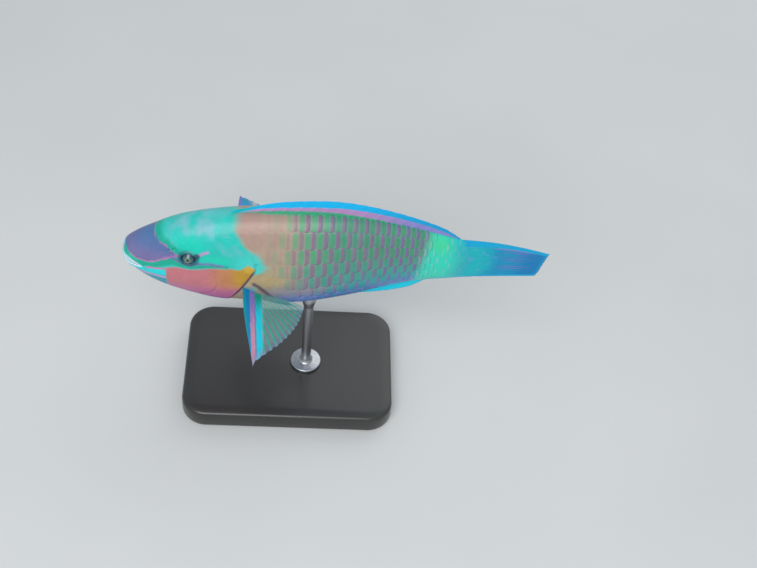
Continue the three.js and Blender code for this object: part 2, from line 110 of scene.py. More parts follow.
def sRGB(r, g, b):
    """A colour from 0 to 255 as the linear values that the shaders take."""
    c = np.array([r, g, b]) / 255.0
    return np.where(c <= 0.04045, c / 12.92, ((c + 0.055) / 1.055) ** 2.4)


def step(x, low, high):
    """0 below low, 1 above high and a smooth rise between them; low may be the larger."""
    t = np.clip((x - low) / (high - low), 0.0, 1.0)
    return t * t * (3.0 - 2.0 * t)


def hump(x):
    """A half circle of height 1 over x from -1 to 1, and 0 elsewhere."""
    return np.sqrt(np.maximum(0.0, 1.0 - x * x))


def mix(a, b, t):
    """From a to b as t goes from 0 to 1."""
    return a + (b - a) * t


def along(values, t):
    """A smooth curve through even steps of values, read at t from 0 to 1."""
    v = np.array([2 * values[0] - values[1], *values, 2 * values[-1] - values[-2]], float)
    n = len(values) - 1
    f = np.clip(t, 0.0, 1.0) * n
    i = np.minimum(f.astype(int), n - 1)
    u = f - i
    a, b, c, d = v[i], v[i + 1], v[i + 2], v[i + 3]
    return b + 0.5 * u * (c - a + u * (2 * a - 5 * b + 4 * c - d + u * (3 * (b - c) + d - a)))


def back_at(s):
    """Height of the back: its curve is read at the square root of s, so the snout gets more of its points."""
    return along(BACK, np.sqrt(np.maximum(0.0, s) / BODY_LENGTH))


def belly_at(s):
    """Height of the belly, read as the back is."""
    return along(BELLY, np.sqrt(np.maximum(0.0, s) / BODY_LENGTH))


def half_width_at(s):
    """Half the body's width, read as the back is."""
    return along(HALF_WIDTH, np.sqrt(np.maximum(0.0, s) / BODY_LENGTH))


def body_point(s, a):
    """The bare body at s and angle a: 0 is the belly, a quarter turn the left flank, half a turn the back."""
    top, low = back_at(s), belly_at(s)
    side = np.sin(a)
    y = -half_width_at(s) * np.sign(side) * np.abs(side) ** SIDE_FULLNESS
    return np.stack([s + 0 * a, y, (top + low) / 2 - (top - low) / 2 * np.cos(a)], -1)


def unit(v):
    """Vectors scaled to a length of 1."""
    return v / np.maximum(np.linalg.norm(v, axis=-1, keepdims=True), 1e-9)


def body_normal(s, a):
    """The outward normal: the cross product of small steps along and round the body."""
    e = 0.01
    s = np.maximum(s, 0.05)
    forward = body_point(s + e, a) - body_point(s - e, a)
    round_ = body_point(s, a + e) - body_point(s, a - e)
    return unit(np.cross(forward, round_))


def angle_at(s, z):
    """The angle at which the left flank has height z."""
    top, low = back_at(s), belly_at(s)
    return np.arccos(np.clip(((top + low) / 2 - z) / ((top - low) / 2), -1.0, 1.0))


def flank(s, z, side, out=0.0):
    """A point of the flank at height z on side -1, the left, or 1, the right, moved out by out."""
    a = angle_at(s, z)
    n = body_normal(s, a)
    p = body_point(s, a) + n * np.asarray(out)[..., None]
    p[..., 1] = side * np.abs(p[..., 1])
    return p


# Round the body, the share of the half girth from the back down to the belly, and its inverse
GIRTH_S = np.linspace(0.4, BODY_LENGTH, 240)
GIRTH_A = np.linspace(math.pi, 0.0, 361)
SHARE = np.linspace(0.0, 1.0, 201)


def girth_table():
    """For each station, the angle at each even share of the arc length from the back to the belly."""
    p = body_point(GIRTH_S[:, None], GIRTH_A[None, :])
    arc = np.cumsum(np.linalg.norm(np.diff(p, axis=1), axis=-1), axis=1)
    arc = np.concatenate([np.zeros((len(GIRTH_S), 1)), arc], axis=1)
    return np.stack([np.interp(SHARE * row[-1], row, GIRTH_A) for row in arc])


ANGLES = girth_table()


def angle_of_share(s, share):
    """The angle on the left flank at a share of the half girth, read bilinearly from the table."""
    i = np.clip((s - GIRTH_S[0]) / (GIRTH_S[1] - GIRTH_S[0]), 0, len(GIRTH_S) - 1.001)
    j = np.clip(share, 0.0, 1.0) * (len(SHARE) - 1.001)
    i0, j0 = i.astype(int), j.astype(int)
    u, v = i - i0, j - j0
    top = mix(ANGLES[i0, j0], ANGLES[i0, j0 + 1], v)
    return mix(top, mix(ANGLES[i0 + 1, j0], ANGLES[i0 + 1, j0 + 1], v), u)


def distance_to_line(s, z, points):
    """Distance in the side view to a line of points, and how far along it the nearest place is, 0 to 1."""
    best = np.full(np.shape(s), 1e9)
    place = np.zeros(np.shape(s))
    n = len(points) - 1
    for k in range(n):
        (s0, z0), (s1, z1) = points[k], points[k + 1]
        ds, dz = s1 - s0, z1 - z0
        t = np.clip(((s - s0) * ds + (z - z0) * dz) / (ds * ds + dz * dz), 0.0, 1.0)
        d = np.hypot(s - s0 - t * ds, z - z0 - t * dz)
        place = np.where(d < best, (k + t) / n, place)
        best = np.minimum(best, d)
    return best, place


def inside(s, z, points):
    """Signed distance in the side view to a closed outline, positive inside."""
    d, _ = distance_to_line(s, z, points + points[:1])
    odd = np.zeros(np.shape(s), bool)
    for (s0, z0), (s1, z1) in zip(points, points[1:] + points[:1]):
        if z0 != z1:
            odd ^= ((z0 > z) != (z1 > z)) & (s < s0 + (z - z0) * (s1 - s0) / (z1 - z0))
    return np.where(odd, d, -d)


def upper_lip(s):
    """Height of the upper lip's edge, falling from the snout to the mouth's corner."""
    return mix(UPPER_LIP_Z, MOUTH_CORNER_Z + 0.4, np.clip(s / MOUTH_CORNER, 0, 1) ** 1.3)


def tail_narrowing(s):
    """The share of its width that the tail stalk keeps, so that it runs out into the tail fin."""
    return 1 - 0.62 * step(s, 214.0, 231.5)


def lower_lip(s):
    """Height of the lower lip's edge, rising from the chin to the mouth's corner."""
    return mix(LOWER_LIP_Z, MOUTH_CORNER_Z - 0.4, np.clip(s / MOUTH_CORNER, 0, 1) ** 1.3)


def gill_edge(z):
    """The rear edge of the gill cover: curved above its corner, a slanting straight line below it."""
    return GILL_TIP - np.where(z > GILL_CORNER_Z, GILL_CURVE * z * z, 0.2 + GILL_SLANT * (GILL_CORNER_Z - z))


# Markings and forms of the side view as outlines and lines of s and z; a nostril is s, z and radius
SNOUT_PATCH = [(3.0, 5.6), (4.4, 4.6), (5.9, 2.6), (10.6, 0.6), (14.5, 0.3), (19.7, 0.3), (24, 2.4),
               (28, 4.8), (33, 7.2), (39, 9.6), (35, 12.3), (30.5, 15.3), (27.2, 16.0), (24.8, 17.3),
               (22.5, 19), (20, 30), (3.0, 30)]
LIP_BAND = [(2.0, 3.6), (5.5, 1.6), (10.6, -0.8), (15, -2.0), (23, -1.0), (28.4, 1.4), (34.5, 3.9),
            (41, 2.6), (47.2, 2.2), (53, 3.4), (58.3, 4.4), (63, 4.6), (70, 5.0)]
UNDER_EYE = [(34.5, 7.6), (38.5, 5.6), (44, 3.6), (50.0, 5.2), (58.3, 6.6), (63, 5.8), (67, 5.4)]
BEHIND_EYE = [(51.2, 11.6), (54, 13.6), (57.6, 15.2)]
FRONT_EYE = [(29, 6.6), (35, 9.0), (39.6, 10.2)]
CHEEK = [(29.5, -1.6), (36, 0.3), (47, 0.2), (58, 2.6), (66, 3.6), (78, 4.4), (84, 8.4), (90, 3.9),
         (90, -50), (33, -50), (30.5, -28), (29.5, -12)]
CORNER_LINE = [(17.5, -4.8), (23, -4.2), (30.5, -2.6)]
CHIN_CYAN = [(3, -7.8), (12, -7.5), (20, -7.2), (29.5, -7.2)]
CHIN_LINE = [(6, -11.6), (12, -11.9), (19, -11.7), (29.5, -12.2)]
CHEEK_FOLD = [(58, 3), (63, -4), (64, -13), (60, -23), (53, -30)]
CHEST_FIN_LOBE = [(85, -13), (91, -23)]
NOSTRILS = ((32.5, 12.6, 0.7), (36.2, 13.8, 0.95))
AXIL = [(87.0, -9.8), (90, -12.6), (92.6, -16.3), (95.4, -20.4), (98, -24.7), (102, -29), (110, -33.5)]
TEAL_EDGE_Z = [-50, -4, -1, 2, 6, 12, 17, 22, 30, 36, 60]
TEAL_EDGE_S = [50, 60, 86, 93, 94.5, 92, 87, 81, 75, 76, 76]


def wobble(s, z, size, seed):
    """A soft irregular value from -1 to 1: a few crossed waves of about the given size in mm."""
    r = np.random.default_rng(seed)
    total = np.zeros(np.shape(s))
    for _ in range(7):
        angle, phase, length = r.uniform(0, 6.28), r.uniform(0, 6.28), size * r.uniform(0.7, 1.6)
        total = total + np.sin(6.28 * (s * math.cos(angle) + z * math.sin(angle)) / length + phase)
    return np.clip(total / 3.5, -1, 1)


def laid(base, colour, mask):
    """A colour laid over another by a mask."""
    return base + (sRGB(*colour) - base) * np.asarray(mask)[..., None]


def lined(s, z, base, points, colour, outer, inner, share=1.0):
    """A soft line of a colour laid along points: full within inner of the line and gone beyond outer."""
    return laid(base, colour, step(distance_to_line(s, z, points)[0], outer, inner) * share)


def plain(shape, *colour):
    """One colour over a whole grid."""
    return np.broadcast_to(sRGB(*colour), shape + (3,))


def flank_colour(s, y, z, rel):
    """The ground colour of the flank and tail stalk; rel runs from 0 at the back to 1 at the belly."""
    c = plain(s.shape, 172, 150, 130)
    c = laid(c, (172, 136, 128), step(rel, 0.30, 0.06) * step(s, 118, 84) * 0.75)
    c = laid(c, (178, 162, 126), step(np.abs(rel - 0.52), 0.22, 0.05) * step(s, 122, 98) * 0.9)
    c = laid(c, (194, 164, 116), step(np.hypot((s - 95) / 14, (z + 8) / 8), 1.3, 0.3) * 0.85)
    c = laid(c, (140, 142, 138), step(s, 104, 124))
    c = laid(c, (104, 140, 136), step(s, 116, 142))
    c = laid(c, (66, 156, 164), step(rel, 0.42, 0.72) * step(s, 128, 156))
    c = laid(c, (152, 144, 166), step(rel, 0.54, 0.72) * step(s, 160, 116) * step(s, 84, 110) * 0.8)
    c = laid(c, (96, 130, 200), step(rel, 0.68, 0.86) * step(s, 90, 110))
    c = laid(c, (76, 178, 138), step(np.abs(y), 2.6, 1.3) * step(rel, 0.3, 0.2) * step(s, 84, 98))
    stalk = s - stalk_start(rel)
    c = laid(c, (38, 218, 190), step(stalk, -6, 3))
    c = laid(c, (74, 210, 130), step(np.hypot((s - 209) / 14, (rel - 0.14) / 0.26), 1.1, 0.0) * 0.65)
    c = laid(c, (24, 176, 194), step(s + 8 * np.abs(rel - 0.5), 210, 231))
    return laid(c, (40, 190, 214), step(rel, 0.8, 0.98) * step(s, 190, 204) * 0.7)


def stalk_start(rel):
    """Where the turquoise of the tail stalk starts, further forward towards the belly."""
    return 203 - 10 * rel


def blotch_share(s, z):
    """Where soft pale clouds lie over the teal of the nape, clear of the snout's cap."""
    head = step(np.interp(z, TEAL_EDGE_Z, TEAL_EDGE_S) - s, -2.5, 2.5)
    nape = step(s, 26, 40) * step(z, 12, 19) * (1 - 0.6 * step(z, 29, 34))
    return head * nape * step(inside(s, z, SNOUT_PATCH), -2.0, -5.0)


def head_ground(s, z, c, head):
    """Teal over the head, paler at the rear, and brighter above the eye and behind it."""
    c = laid(c, (30, 192, 180), head)
    c = laid(c, (78, 210, 202), head * step(s, 66, 90) * step(z, 24, 8) * 0.8)
    c = laid(c, (0, 202, 178), head * step(np.hypot((s - 46) / 12, (z - 17) / 6.5), 1.2, 0.4) * 0.9)
    return laid(c, (0, 206, 176), head * step(np.hypot((s - 62) / 10, (z - 10) / 3.4), 1.3, 0.4) * 0.8)


def snout_cap(s, z, c, head, patch):
    """The violet cap on the snout, bluer on top, with green behind it and a mauve rim broken into spots."""
    c = laid(c, (0, 166, 142), head * step(patch, -6.5, -1.5) * step(s, 20, 24))
    c = laid(c, (18, 150, 190), step(s, 6.5, 2.5) * step(z, 0, 3))
    soft = mix(0.4, 1.5, step(z, 12, 17))
    c = laid(c, (88, 110, 160), step(patch, -soft, soft))
    c = laid(c, (118, 108, 156), step(patch, 0.5, 2) * step(z, 13, 5) * 0.8)
    c = laid(c, (66, 118, 164), step(patch, 0.5, 3) * step(z, 12, 17) * 0.7)
    rim = step(np.abs(patch - 0.3), 0.95, 0.2)
    spotted = mix(1.0, step(wobble(s, z, 5, 31), -0.2, 0.5) * 0.75, step(z, 9, 13))
    return laid(c, (186, 116, 172), rim * spotted * step(s, 4, 7))


def face_lines(s, z, c, patch):
    """The green band from the lip to behind the eye, and the violet and mauve lines round the eye."""
    d, t = distance_to_line(s, z, LIP_BAND)
    c = laid(c, (0, 170, 144), step(d, mix(2.6, 1.3, t), mix(1.7, 0.6, t)) * step(patch, 0.2, -0.4))
    c = lined(s, z, c, UNDER_EYE, (118, 96, 172), 1.25, 0.45, 0.85)
    c = lined(s, z, c, FRONT_EYE, (150, 108, 176), 0.9, 0.35, 0.75)
    return lined(s, z, c, BEHIND_EYE, (196, 142, 198), 1.2, 0.4)


def cheek_colour(s, z, c):
    """The cheek inside its outline and in front of the gill edge: salmon, ochre behind, violet below."""
    cheek = inside(s, z, CHEEK) + 0.4 * wobble(s, z, 7, 21)
    cheek = step(cheek, -0.5, 0.9) * step(s, gill_edge(z) + 0.8, gill_edge(z) - 0.4)
    tone = plain(s.shape, 198, 116, 124)
    tone = laid(tone, (192, 126, 84), step(s, 54, 68) * step(z, -22, -9))
    tone = laid(tone, (194, 146, 40), step(s, 68, 79) * step(z, -18, -6))
    tone = laid(tone, (184, 104, 150), step(z, -12, -25))
    tone = laid(tone, (118, 98, 180), step(z, -27, -34))
    c = c + (tone - c) * cheek[..., None]
    return laid(c, (208, 170, 62), cheek * step(np.hypot(s - 84.5, z - 4.5), 5, 1.5) * 0.8)


def chin_colour(s, z, c):
    """The lower jaw in front of the cheek: teal, then blue below, with a cyan and a violet band."""
    jaw = step(s, 30.2, 29.2) * step(z, upper_lip(s) - 1.4, upper_lip(s) - 2.4)
    c = laid(c, (0, 182, 164), jaw)
    c = laid(c, (0, 158, 172), jaw * step(z, -11, -14))
    c = laid(c, (52, 116, 184), jaw * step(z, -17, -22))
    c = lined(s, z, c, CHIN_CYAN, (0, 218, 224), 3.3, 2.4, step(s, 30.5, 28.8))
    c = lined(s, z, c, CHIN_LINE, (190, 156, 212), 1.5, 0.8, step(s, 30.5, 29))
    return lined(s, z, c, CORNER_LINE, (200, 128, 170), 1.1, 0.45)


def painted_shade_and_fin_root(s, z, c):
    """Painted shade: a dark line in the groove along the gill edge and one over the chest fin, the dark
    places behind and round the eye and the dark inside of the mouth; also the turquoise patch, its own
    colour, at the fin's root."""
    # painted shade: a dark line in the groove behind the gill cover's edge
    edge = np.abs(s - gill_edge(z) - 0.2)
    c = laid(c, (76, 52, 98), step(edge, 1.7, 0.5) * step(z, 4.5, 0.5) * 0.9)
    c = laid(c, (84, 176, 190), step(np.hypot((s - 85.5) / 4.5, (z + 16.5) / 5.5), 1.2, 0.3) * 0.7)
    # painted shade: a dark line in the pocket behind the chest fin's root
    axil, t = distance_to_line(s, z, AXIL)
    c = laid(c, (72, 50, 90), step(axil, 2.4, 0.3) * 0.8 * step(t, 1.0, 0.45))
    # painted shade: a dark patch behind the eye and a dark ring round its sunk socket
    c = laid(c, (16, 62, 74), step(np.hypot((s - 50.4) / 2.6, (z - 11.2) / 2.2), 1.15, 0.5) * 0.85)
    c = laid(c, (22, 66, 92), step(np.hypot((s - EYE_S) / 1.15, z - EYE_Z), 6.6, 4.9) * 0.75)
    # painted shade: the dark inside of the open mouth
    hole = (1 - step(s, 15, 17)) * step(upper_lip(s) - z, 0.9, 1.6) * step(z - lower_lip(s), 0.9, 1.6)
    return laid(c, (70, 96, 120), hole * 0.8)


def skin_colour(s, y, z):
    """The colour of the skin at a place of the side view, the same on both sides: each marking is laid over
    the last by how deep the place lies inside its outline, or how near to its line, and painted shade goes on
    last."""
    rel = (back_at(s) - z) / np.maximum(back_at(s) - belly_at(s), 1e-3)
    head = step(np.interp(z, TEAL_EDGE_Z, TEAL_EDGE_S) - s + 1.2 * wobble(s, z, 9, 3), -3.5, 3.5)
    patch = inside(s, z, SNOUT_PATCH) + 0.35 * wobble(s, z, 4, 8)
    c = head_ground(s, z, flank_colour(s, y, z, rel), head)
    c = snout_cap(s, z, c, head, patch)
    c = face_lines(s, z, c, patch)
    c = cheek_colour(s, z, c)
    c = chin_colour(s, z, c)
    return painted_shade_and_fin_root(s, z, c)


def eye_and_nostrils(p, side):
    """Relief of one side: the eye's socket with its rim and the groove round it, and two ringed nostrils."""
    off = p - flank(np.array(EYE_S), np.array(EYE_Z), side)
    r = np.hypot(off[..., 0] / 1.1, np.hypot(off[..., 1], off[..., 2]) / 0.86)
    brow = 0.75 + 0.35 * step(off[..., 2], -1, 3)
    d = -3.2 * step(r, 4.35, 3.7)
    d = d + brow * np.exp(-(((r - 5.2) / 0.8) ** 2)) - 0.22 * np.exp(-(((r - 7.4) / 0.9) ** 2))
    for hole_s, hole_z, radius in NOSTRILS:
        r = np.linalg.norm(p - flank(np.array(hole_s), np.array(hole_z), side), axis=-1) / radius
        d = d - 1.3 * np.exp(-(r**2)) + 0.32 * np.exp(-(((r - 1.9) / 0.6) ** 2))
    return d


def skin_relief(p, s, z):
    """How far the finished skin stands out of the bare body p: lips and the mouth between them, the raised
    rear of the gill cover with the groove behind it, the cheek's fold, the lobe at the chest fin's root,
    the eye sockets and the nostrils."""
    short = (1 - step(s, 15.5, 18.5)) * (0.2 + 0.8 * step(s, 0.5, 5))
    d = 0.75 * hump((z - upper_lip(s)) / 1.4) * short
    d = d + 1.0 * hump((z - lower_lip(s)) / 1.6) * short - 1.3 * step(s, 3.2, 0.4)
    gape = step(upper_lip(s) - z, 0.7, 1.7) * step(z - lower_lip(s), 0.7, 1.7)
    d = d - 3.6 * gape * (1 - step(s, 14.5, 16.5))
    e = gill_edge(z) - s
    cover = step(z, -37, -31) * step(z, 15, 8)
    d = d + cover * (0.9 * step(e, 22, 3) * step(e, -0.5, 0.4) - 0.5 * np.exp(-(((e + 1.3) / 0.8) ** 2)))
    fold, _ = distance_to_line(s, z, CHEEK_FOLD)
    lobe, _ = distance_to_line(s, z, CHEST_FIN_LOBE)
    d = d - 0.28 * np.exp(-((fold / 1.1) ** 2))
    d = d + 0.9 * np.exp(-((lobe / 3.2) ** 2)) * step(e, 0.2, -1.5)
    return d + eye_and_nostrils(p, -1) + eye_and_nostrils(p, 1)


def to_world(points):
    """World points in metres from places on the fish in millimetres."""
    return (np.asarray(points).reshape(-1, 3) + [SNOUT_X, 0, AXIS_HEIGHT]) * MM


def grid_faces(rows, columns, wrap=False):
    """Quads over a grid of rows by columns of points, and each corner's place on the grid, 0 to 1."""
    i, j = np.meshgrid(np.arange(rows - 1), np.arange(columns if wrap else columns - 1), indexing="ij")
    i, j = i.ravel(), j.ravel()
    k = (j + 1) % columns
    faces = np.stack([i * columns + j, i * columns + k, (i + 1) * columns + k, (i + 1) * columns + j], -1)
    last = columns if wrap else columns - 1
    corner = [(j, i), (j + 1, i), (j + 1, i + 1), (j, i + 1)]
    uv = np.stack([np.stack([a / last, b / (rows - 1)], -1) for a, b in corner], 1)
    return faces, uv


def border_of(rows, columns):
    """Row and column of each point round a grid's border, as one loop."""
    i, j = np.arange(rows - 1), np.arange(columns - 1)
    row = np.concatenate([0 * j, i, 0 * j + rows - 1, rows - 1 - i])
    column = np.concatenate([j, 0 * i + columns - 1, columns - 1 - j, 0 * i])
    return row, column


def tube(rings, turns, gap=0.02, cap=0.02, order=1):
    """Faces of a closed tube: quads between rings of points, then a fan at each end to one of the two
    points that follow the rings. In its map the quads keep a gap at both ends, and each fan is a strip as
    high as the cap. An order of -1 turns every face round."""
    quads, uv = grid_faces(rings, turns, True)
    n = rings * turns
    j = np.arange(turns)
    k = (j + 1) % turns
    first = np.stack([np.full(turns, n), k, j], -1)
    last = np.stack([np.full(turns, n + 1), n - turns + j, n - turns + k], -1)
    here, middle, after = j / turns, (j + 0.5) / turns, (j + 1) / turns
    low = [(middle, 0 * j), (after, 0 * j + cap), (here, 0 * j + cap)]
    high = [(middle, 0 * j + 1.0), (here, 0 * j + 1 - cap), (after, 0 * j + 1 - cap)]
    maps = [uv * [1, 1 - 2 * gap] + [0, gap]]
    maps += [np.stack([np.stack(pair, -1) for pair in fan], 1) for fan in (low, high)]
    faces = [face for part in (quads, first, last) for face in part[:, ::order]]
    return faces, np.concatenate([part[:, ::order].reshape(-1, 2) for part in maps])


def put_mesh(name, points, faces, uvs, material, fields, replaces=(), flat_from=None):
    """A mesh object from world points and lists of faces, with UV maps given corner by corner and with
    named values or colours given point by point. Faces from flat_from on are shaded flat."""
    mesh = bpy.data.meshes.new(name)
    counts = np.array([len(f) for f in faces])
    flat = np.concatenate(faces)
    mesh.vertices.add(len(points))
    mesh.vertices.foreach_set("co", np.asarray(points, np.float32).ravel())
    mesh.loops.add(len(flat))
    mesh.loops.foreach_set("vertex_index", flat.astype(np.int32))
    mesh.polygons.add(len(counts))
    mesh.polygons.foreach_set("loop_start", (np.cumsum(counts) - counts).astype(np.int32))
    mesh.update(calc_edges=True)
    mesh.polygons.foreach_set("use_smooth", np.arange(len(counts)) < (flat_from or len(counts)))
    for key, uv in uvs.items():
        mesh.uv_layers.new(name=key).data.foreach_set("uv", np.asarray(uv, np.float32).ravel())
    for key, values in fields.items():
        values = np.asarray(values, np.float32)
        if values.ndim == 1:
            mesh.attributes.new(key, "FLOAT", "POINT").data.foreach_set("value", values)
        else:
            rgba = np.concatenate([values, np.ones((len(values), 1), np.float32)], 1)
            mesh.attributes.new(key, "FLOAT_COLOR", "POINT").data.foreach_set("color", rgba.ravel())
    mesh.validate()
    mesh.materials.append(material)
    made = bpy.data.objects.new(name, mesh)
    bpy.context.scene.collection.objects.link(made)
    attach(made, "root")
    if replaces:
        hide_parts(*replaces)
    return made


def closed_leaf(front, back):
    """Points and faces of a thin closed piece from two grids of points with the same border. The web map
    covers each face of it once, and in the bake map the front has the left half and the back the right."""
    rows, columns = front.shape[:2]
    n = rows * columns
    faces, uv = grid_faces(rows, columns)
    row, column = border_of(rows, columns)
    loop = row * columns + column
    after = np.roll(loop, -1)
    place = np.stack([column / (columns - 1), row / (rows - 1)], -1)
    place_after = np.roll(place, -1, axis=0)
    rim = np.stack([after, loop, loop + n, after + n], -1)
    rim_uv = np.stack([place_after, place, place, place_after], 1)
    points = np.concatenate([front.reshape(-1, 3), back.reshape(-1, 3)])
    web = np.concatenate([uv, uv[:, ::-1], rim_uv])
    bake = web * [0.49, 0.98] + 0.005
    bake[len(uv):2 * len(uv), :, 0] += 0.5
    return points, np.concatenate([faces, faces[:, ::-1] + n, rim]), web, bake


def put_leaf(name, front, back, material, fields, node):
    """The mesh object of a closed leaf. Its faces are turned round where its signed volume is negative."""
    points, faces, web, bake = closed_leaf(front, back)
    points = to_world(points)
    a, b, c, d = (points[faces[:, k]] for k in range(4))
    volume = np.einsum("ij,ij->", a, np.cross(b, c)) + np.einsum("ij,ij->", a, np.cross(c, d))
    order = -1 if volume < 0 else 1
    uvs = {"web": web[:, ::order].reshape(-1, 2), "OFBake": bake[:, ::order].reshape(-1, 2)}
    put_mesh(name, points, faces[:, ::order], uvs, material, fields, (node,))


def turn_out(made):
    """Recalculates the normals of a closed mesh so that they point out."""
    work = bmesh.new()
    work.from_mesh(made.data)
    bmesh.ops.recalc_face_normals(work, faces=work.faces)
    work.to_mesh(made.data)
    work.free()


# Shader maths
class Wire:
    """An output socket that can be added, subtracted, multiplied and divided."""

    def __init__(self, shader, socket):
        self.shader, self.socket = shader, socket

    def maths(self, operation, other, swap=False):
        pair = (other, self) if swap else (self, other)
        return self.shader.node("Math", {"operation": operation}, {0: pair[0], 1: pair[1]})

    def __add__(self, other):
        return self.maths("ADD", other)

    def __sub__(self, other):
        return self.maths("SUBTRACT", other)

    def __mul__(self, other):
        return self.maths("MULTIPLY", other)

    def __truediv__(self, other):
        return self.maths("DIVIDE", other)

    def __radd__(self, other):
        return self.maths("ADD", other, True)

    def __rsub__(self, other):
        return self.maths("SUBTRACT", other, True)

    def __rmul__(self, other):
        return self.maths("MULTIPLY", other, True)


class Finish:
    """A material whose nodes are written as expressions."""

    def __init__(self, name):
        self.material = bpy.data.materials.new(name)
        self.material.use_nodes = True
        self.tree = self.material.node_tree
        self.bsdf = self.tree.nodes["Principled BSDF"]
        self.place = Wire(self, self.tree.nodes.new("ShaderNodeTexCoord").outputs["Object"])

    def node(self, kind, settings=None, inputs=None, out=0):
        """Any node: its type, its settings, the values or links of its sockets and the output wanted."""
        made = self.tree.nodes.new("ShaderNode" + kind)
        for key, value in (settings or {}).items():
            setattr(made, key, value)
        for key, value in (inputs or {}).items():
            self.feed(made.inputs[key], value)
        return Wire(self, made.outputs[out])

    def feed(self, socket, value):
        if isinstance(value, Wire):
            self.tree.links.new(value.socket, socket)
        else:
            socket.default_value = value

    def colour(self, r, g, b):
        return (*sRGB(r, g, b), 1.0)

    def step(self, value, low, high):
        """0 at low and 1 at high with a smooth rise between; low may be the larger."""
        return self.node("MapRange", {"interpolation_type": "SMOOTHSTEP"}, {0: value, 1: low, 2: high})

    def mix(self, mask, first, second, blend="MIX"):
        return self.node("Mix", {"data_type": "RGBA", "blend_type": blend}, {0: mask, 6: first, 7: second}, 2)

    def noise(self, scale, detail=3.0, rough=0.55, stretch=None):
        vector = self.place
        if stretch:
            vector = self.node("Mapping", None, {"Vector": vector, "Scale": stretch})
        inputs = {"Vector": vector, "Scale": scale, "Detail": detail, "Roughness": rough}
        return self.node("TexNoise", None, inputs)

    def field(self, name):
        return self.node("Attribute", {"attribute_name": name}, None, 0)

    def value(self, name):
        return self.node("Attribute", {"attribute_name": name}, None, 2)

    def uv(self, name):
        """The two coordinates of a UV map, as a pair of values."""
        where = self.node("UVMap", {"uv_map": name})
        split = self.node("SeparateXYZ", None, {0: where})
        return split, Wire(self, split.socket.node.outputs[1])

    def bump(self, height, strength, distance):
        inputs = {"Height": height, "Strength": strength, "Distance": distance}
        return self.node("Bump", None, inputs)

    def finish(self, colour, rough, normal=None, alpha=None, **constants):
        self.feed(self.bsdf.inputs["Base Color"], colour)
        self.feed(self.bsdf.inputs["Roughness"], rough)
        if normal:
            self.feed(self.bsdf.inputs["Normal"], normal)
        if alpha:
            self.feed(self.bsdf.inputs["Alpha"], alpha)
        for key, value in constants.items():
            self.bsdf.inputs[key.replace("_", " ")].default_value = value
        return self.material


def clouded(f, shade):
    """Soft pale lilac clouds where the blotch value allows them, and a faint overall mottling."""
    cloud = f.step(f.noise(52, 2, 0.5), 0.47, 0.62) * f.value("blotch")
    shade = f.mix(cloud * 0.5, shade, f.colour(150, 178, 204))
    tone = f.mix(f.noise(140, 4), f.colour(40, 60, 64), f.colour(255, 255, 252))
    return f.mix(0.18, shade, tone, "OVERLAY")


def skin_finish():
    """Painted skin: the marking's colour with soft clouds, fine grain and the low scales of the cheek."""
    f = Finish("fish skin")
    cloud = f.noise(140, 4)
    grain = f.noise(900, 3)
    shade = clouded(f, f.field("paint"))
    cells = f.node("TexVoronoi", {"feature": "DISTANCE_TO_EDGE"}, {"Vector": f.place, "Scale": 150.0})
    relief = f.bump(f.step(cells, 0.0, 0.16) * 0.7 + grain * 0.5, 0.22, 0.0006)
    return f.finish(shade, 0.34 + cloud * 0.2, relief, Specular_IOR_Level=0.35, Coat_Weight=0.16,
                    Coat_Roughness=0.18)


def scale_finish():
    """One scale after another: the ground colour with an oval in the middle and a bar at the free edge."""
    f = Finish("scales")
    u, v = f.uv("scale")
    fine = f.noise(1100, 2)
    wave = (f.noise(300, 2) - 0.5) * 0.7
    du = (u - 0.458) / 0.152
    dv = (v - 0.5) / 0.50
    tall = dv * dv
    oval = f.step(du * du + tall * 0.4 + tall * tall * 0.6 + wave, 1.45, 0.45)
    across = (u - 0.742 + wave * 0.02) / 0.080
    bar = f.step(across * across + tall * tall * 0.8 + wave * 0.5, 1.45, 0.35)
    shade = f.mix(oval * f.value("oval_share") * 0.88, f.field("paint"), f.field("oval"))
    shade = clouded(f, f.mix(bar * f.value("bar_share") * 0.8, shade, f.field("bar")))
    waves = {"Vector": f.place, "Scale": 420.0, "Distortion": 3.0, "Detail": 2.0, "Detail Scale": 2.0}
    ridges = f.node("TexWave", {"wave_type": "BANDS", "bands_direction": "X"}, waves)
    relief = f.bump(ridges * 0.25 + fine * 0.6, 0.2, 0.0004)
    return f.finish(shade, 0.32 + fine * 0.2, relief, Specular_IOR_Level=0.35, Coat_Weight=0.2,
                    Coat_Roughness=0.16)


# Body
def make_skin():
    """The body's surface in stations along it and angles round it, moved out by the relief. The stations
    are closest at the snout: over the head the distance behind it grows as a power of 1.3."""
    t = np.arange(1, STATIONS + 1)[:, None] / STATIONS
    head = HEAD_LENGTH * np.minimum(t / HEAD_SHARE, 1) ** 1.3
    rest = (BODY_LENGTH - HEAD_LENGTH) * np.maximum(t - HEAD_SHARE, 0) / REST_SHARE
    s = head + rest + np.zeros((1, ROUND))
    a = np.broadcast_to(2 * math.pi * np.arange(ROUND) / ROUND, s.shape)
    bare = body_point(s, a)
    y, z = bare[..., 1], bare[..., 2]
    p = bare + body_normal(s, a) * (skin_relief(bare, s, z) - 0.06)[..., None]
    p[..., 1] *= tail_narrowing(s)
    ends = [p[0].mean(0) - [0.05, 0, 0], p[-1].mean(0)]
    points = np.concatenate([p.reshape(-1, 3), ends])
    colours = skin_colour(s, y, z).reshape(-1, 3)
    colours = np.concatenate([colours, colours[:1], colours[-1:]])
    blotch = np.concatenate([blotch_share(s, z).ravel(), [0.0, 0.0]])
    faces, maps = tube(STATIONS, ROUND, order=-1)
    put_mesh("skin", to_world(points), faces, {"OFBake": maps}, skin_finish(),
             {"paint": colours, "blotch": blotch},
             ("head", "lower_jaw", "torso", "tail_stalk", "gill_cover_left", "gill_cover_right"))


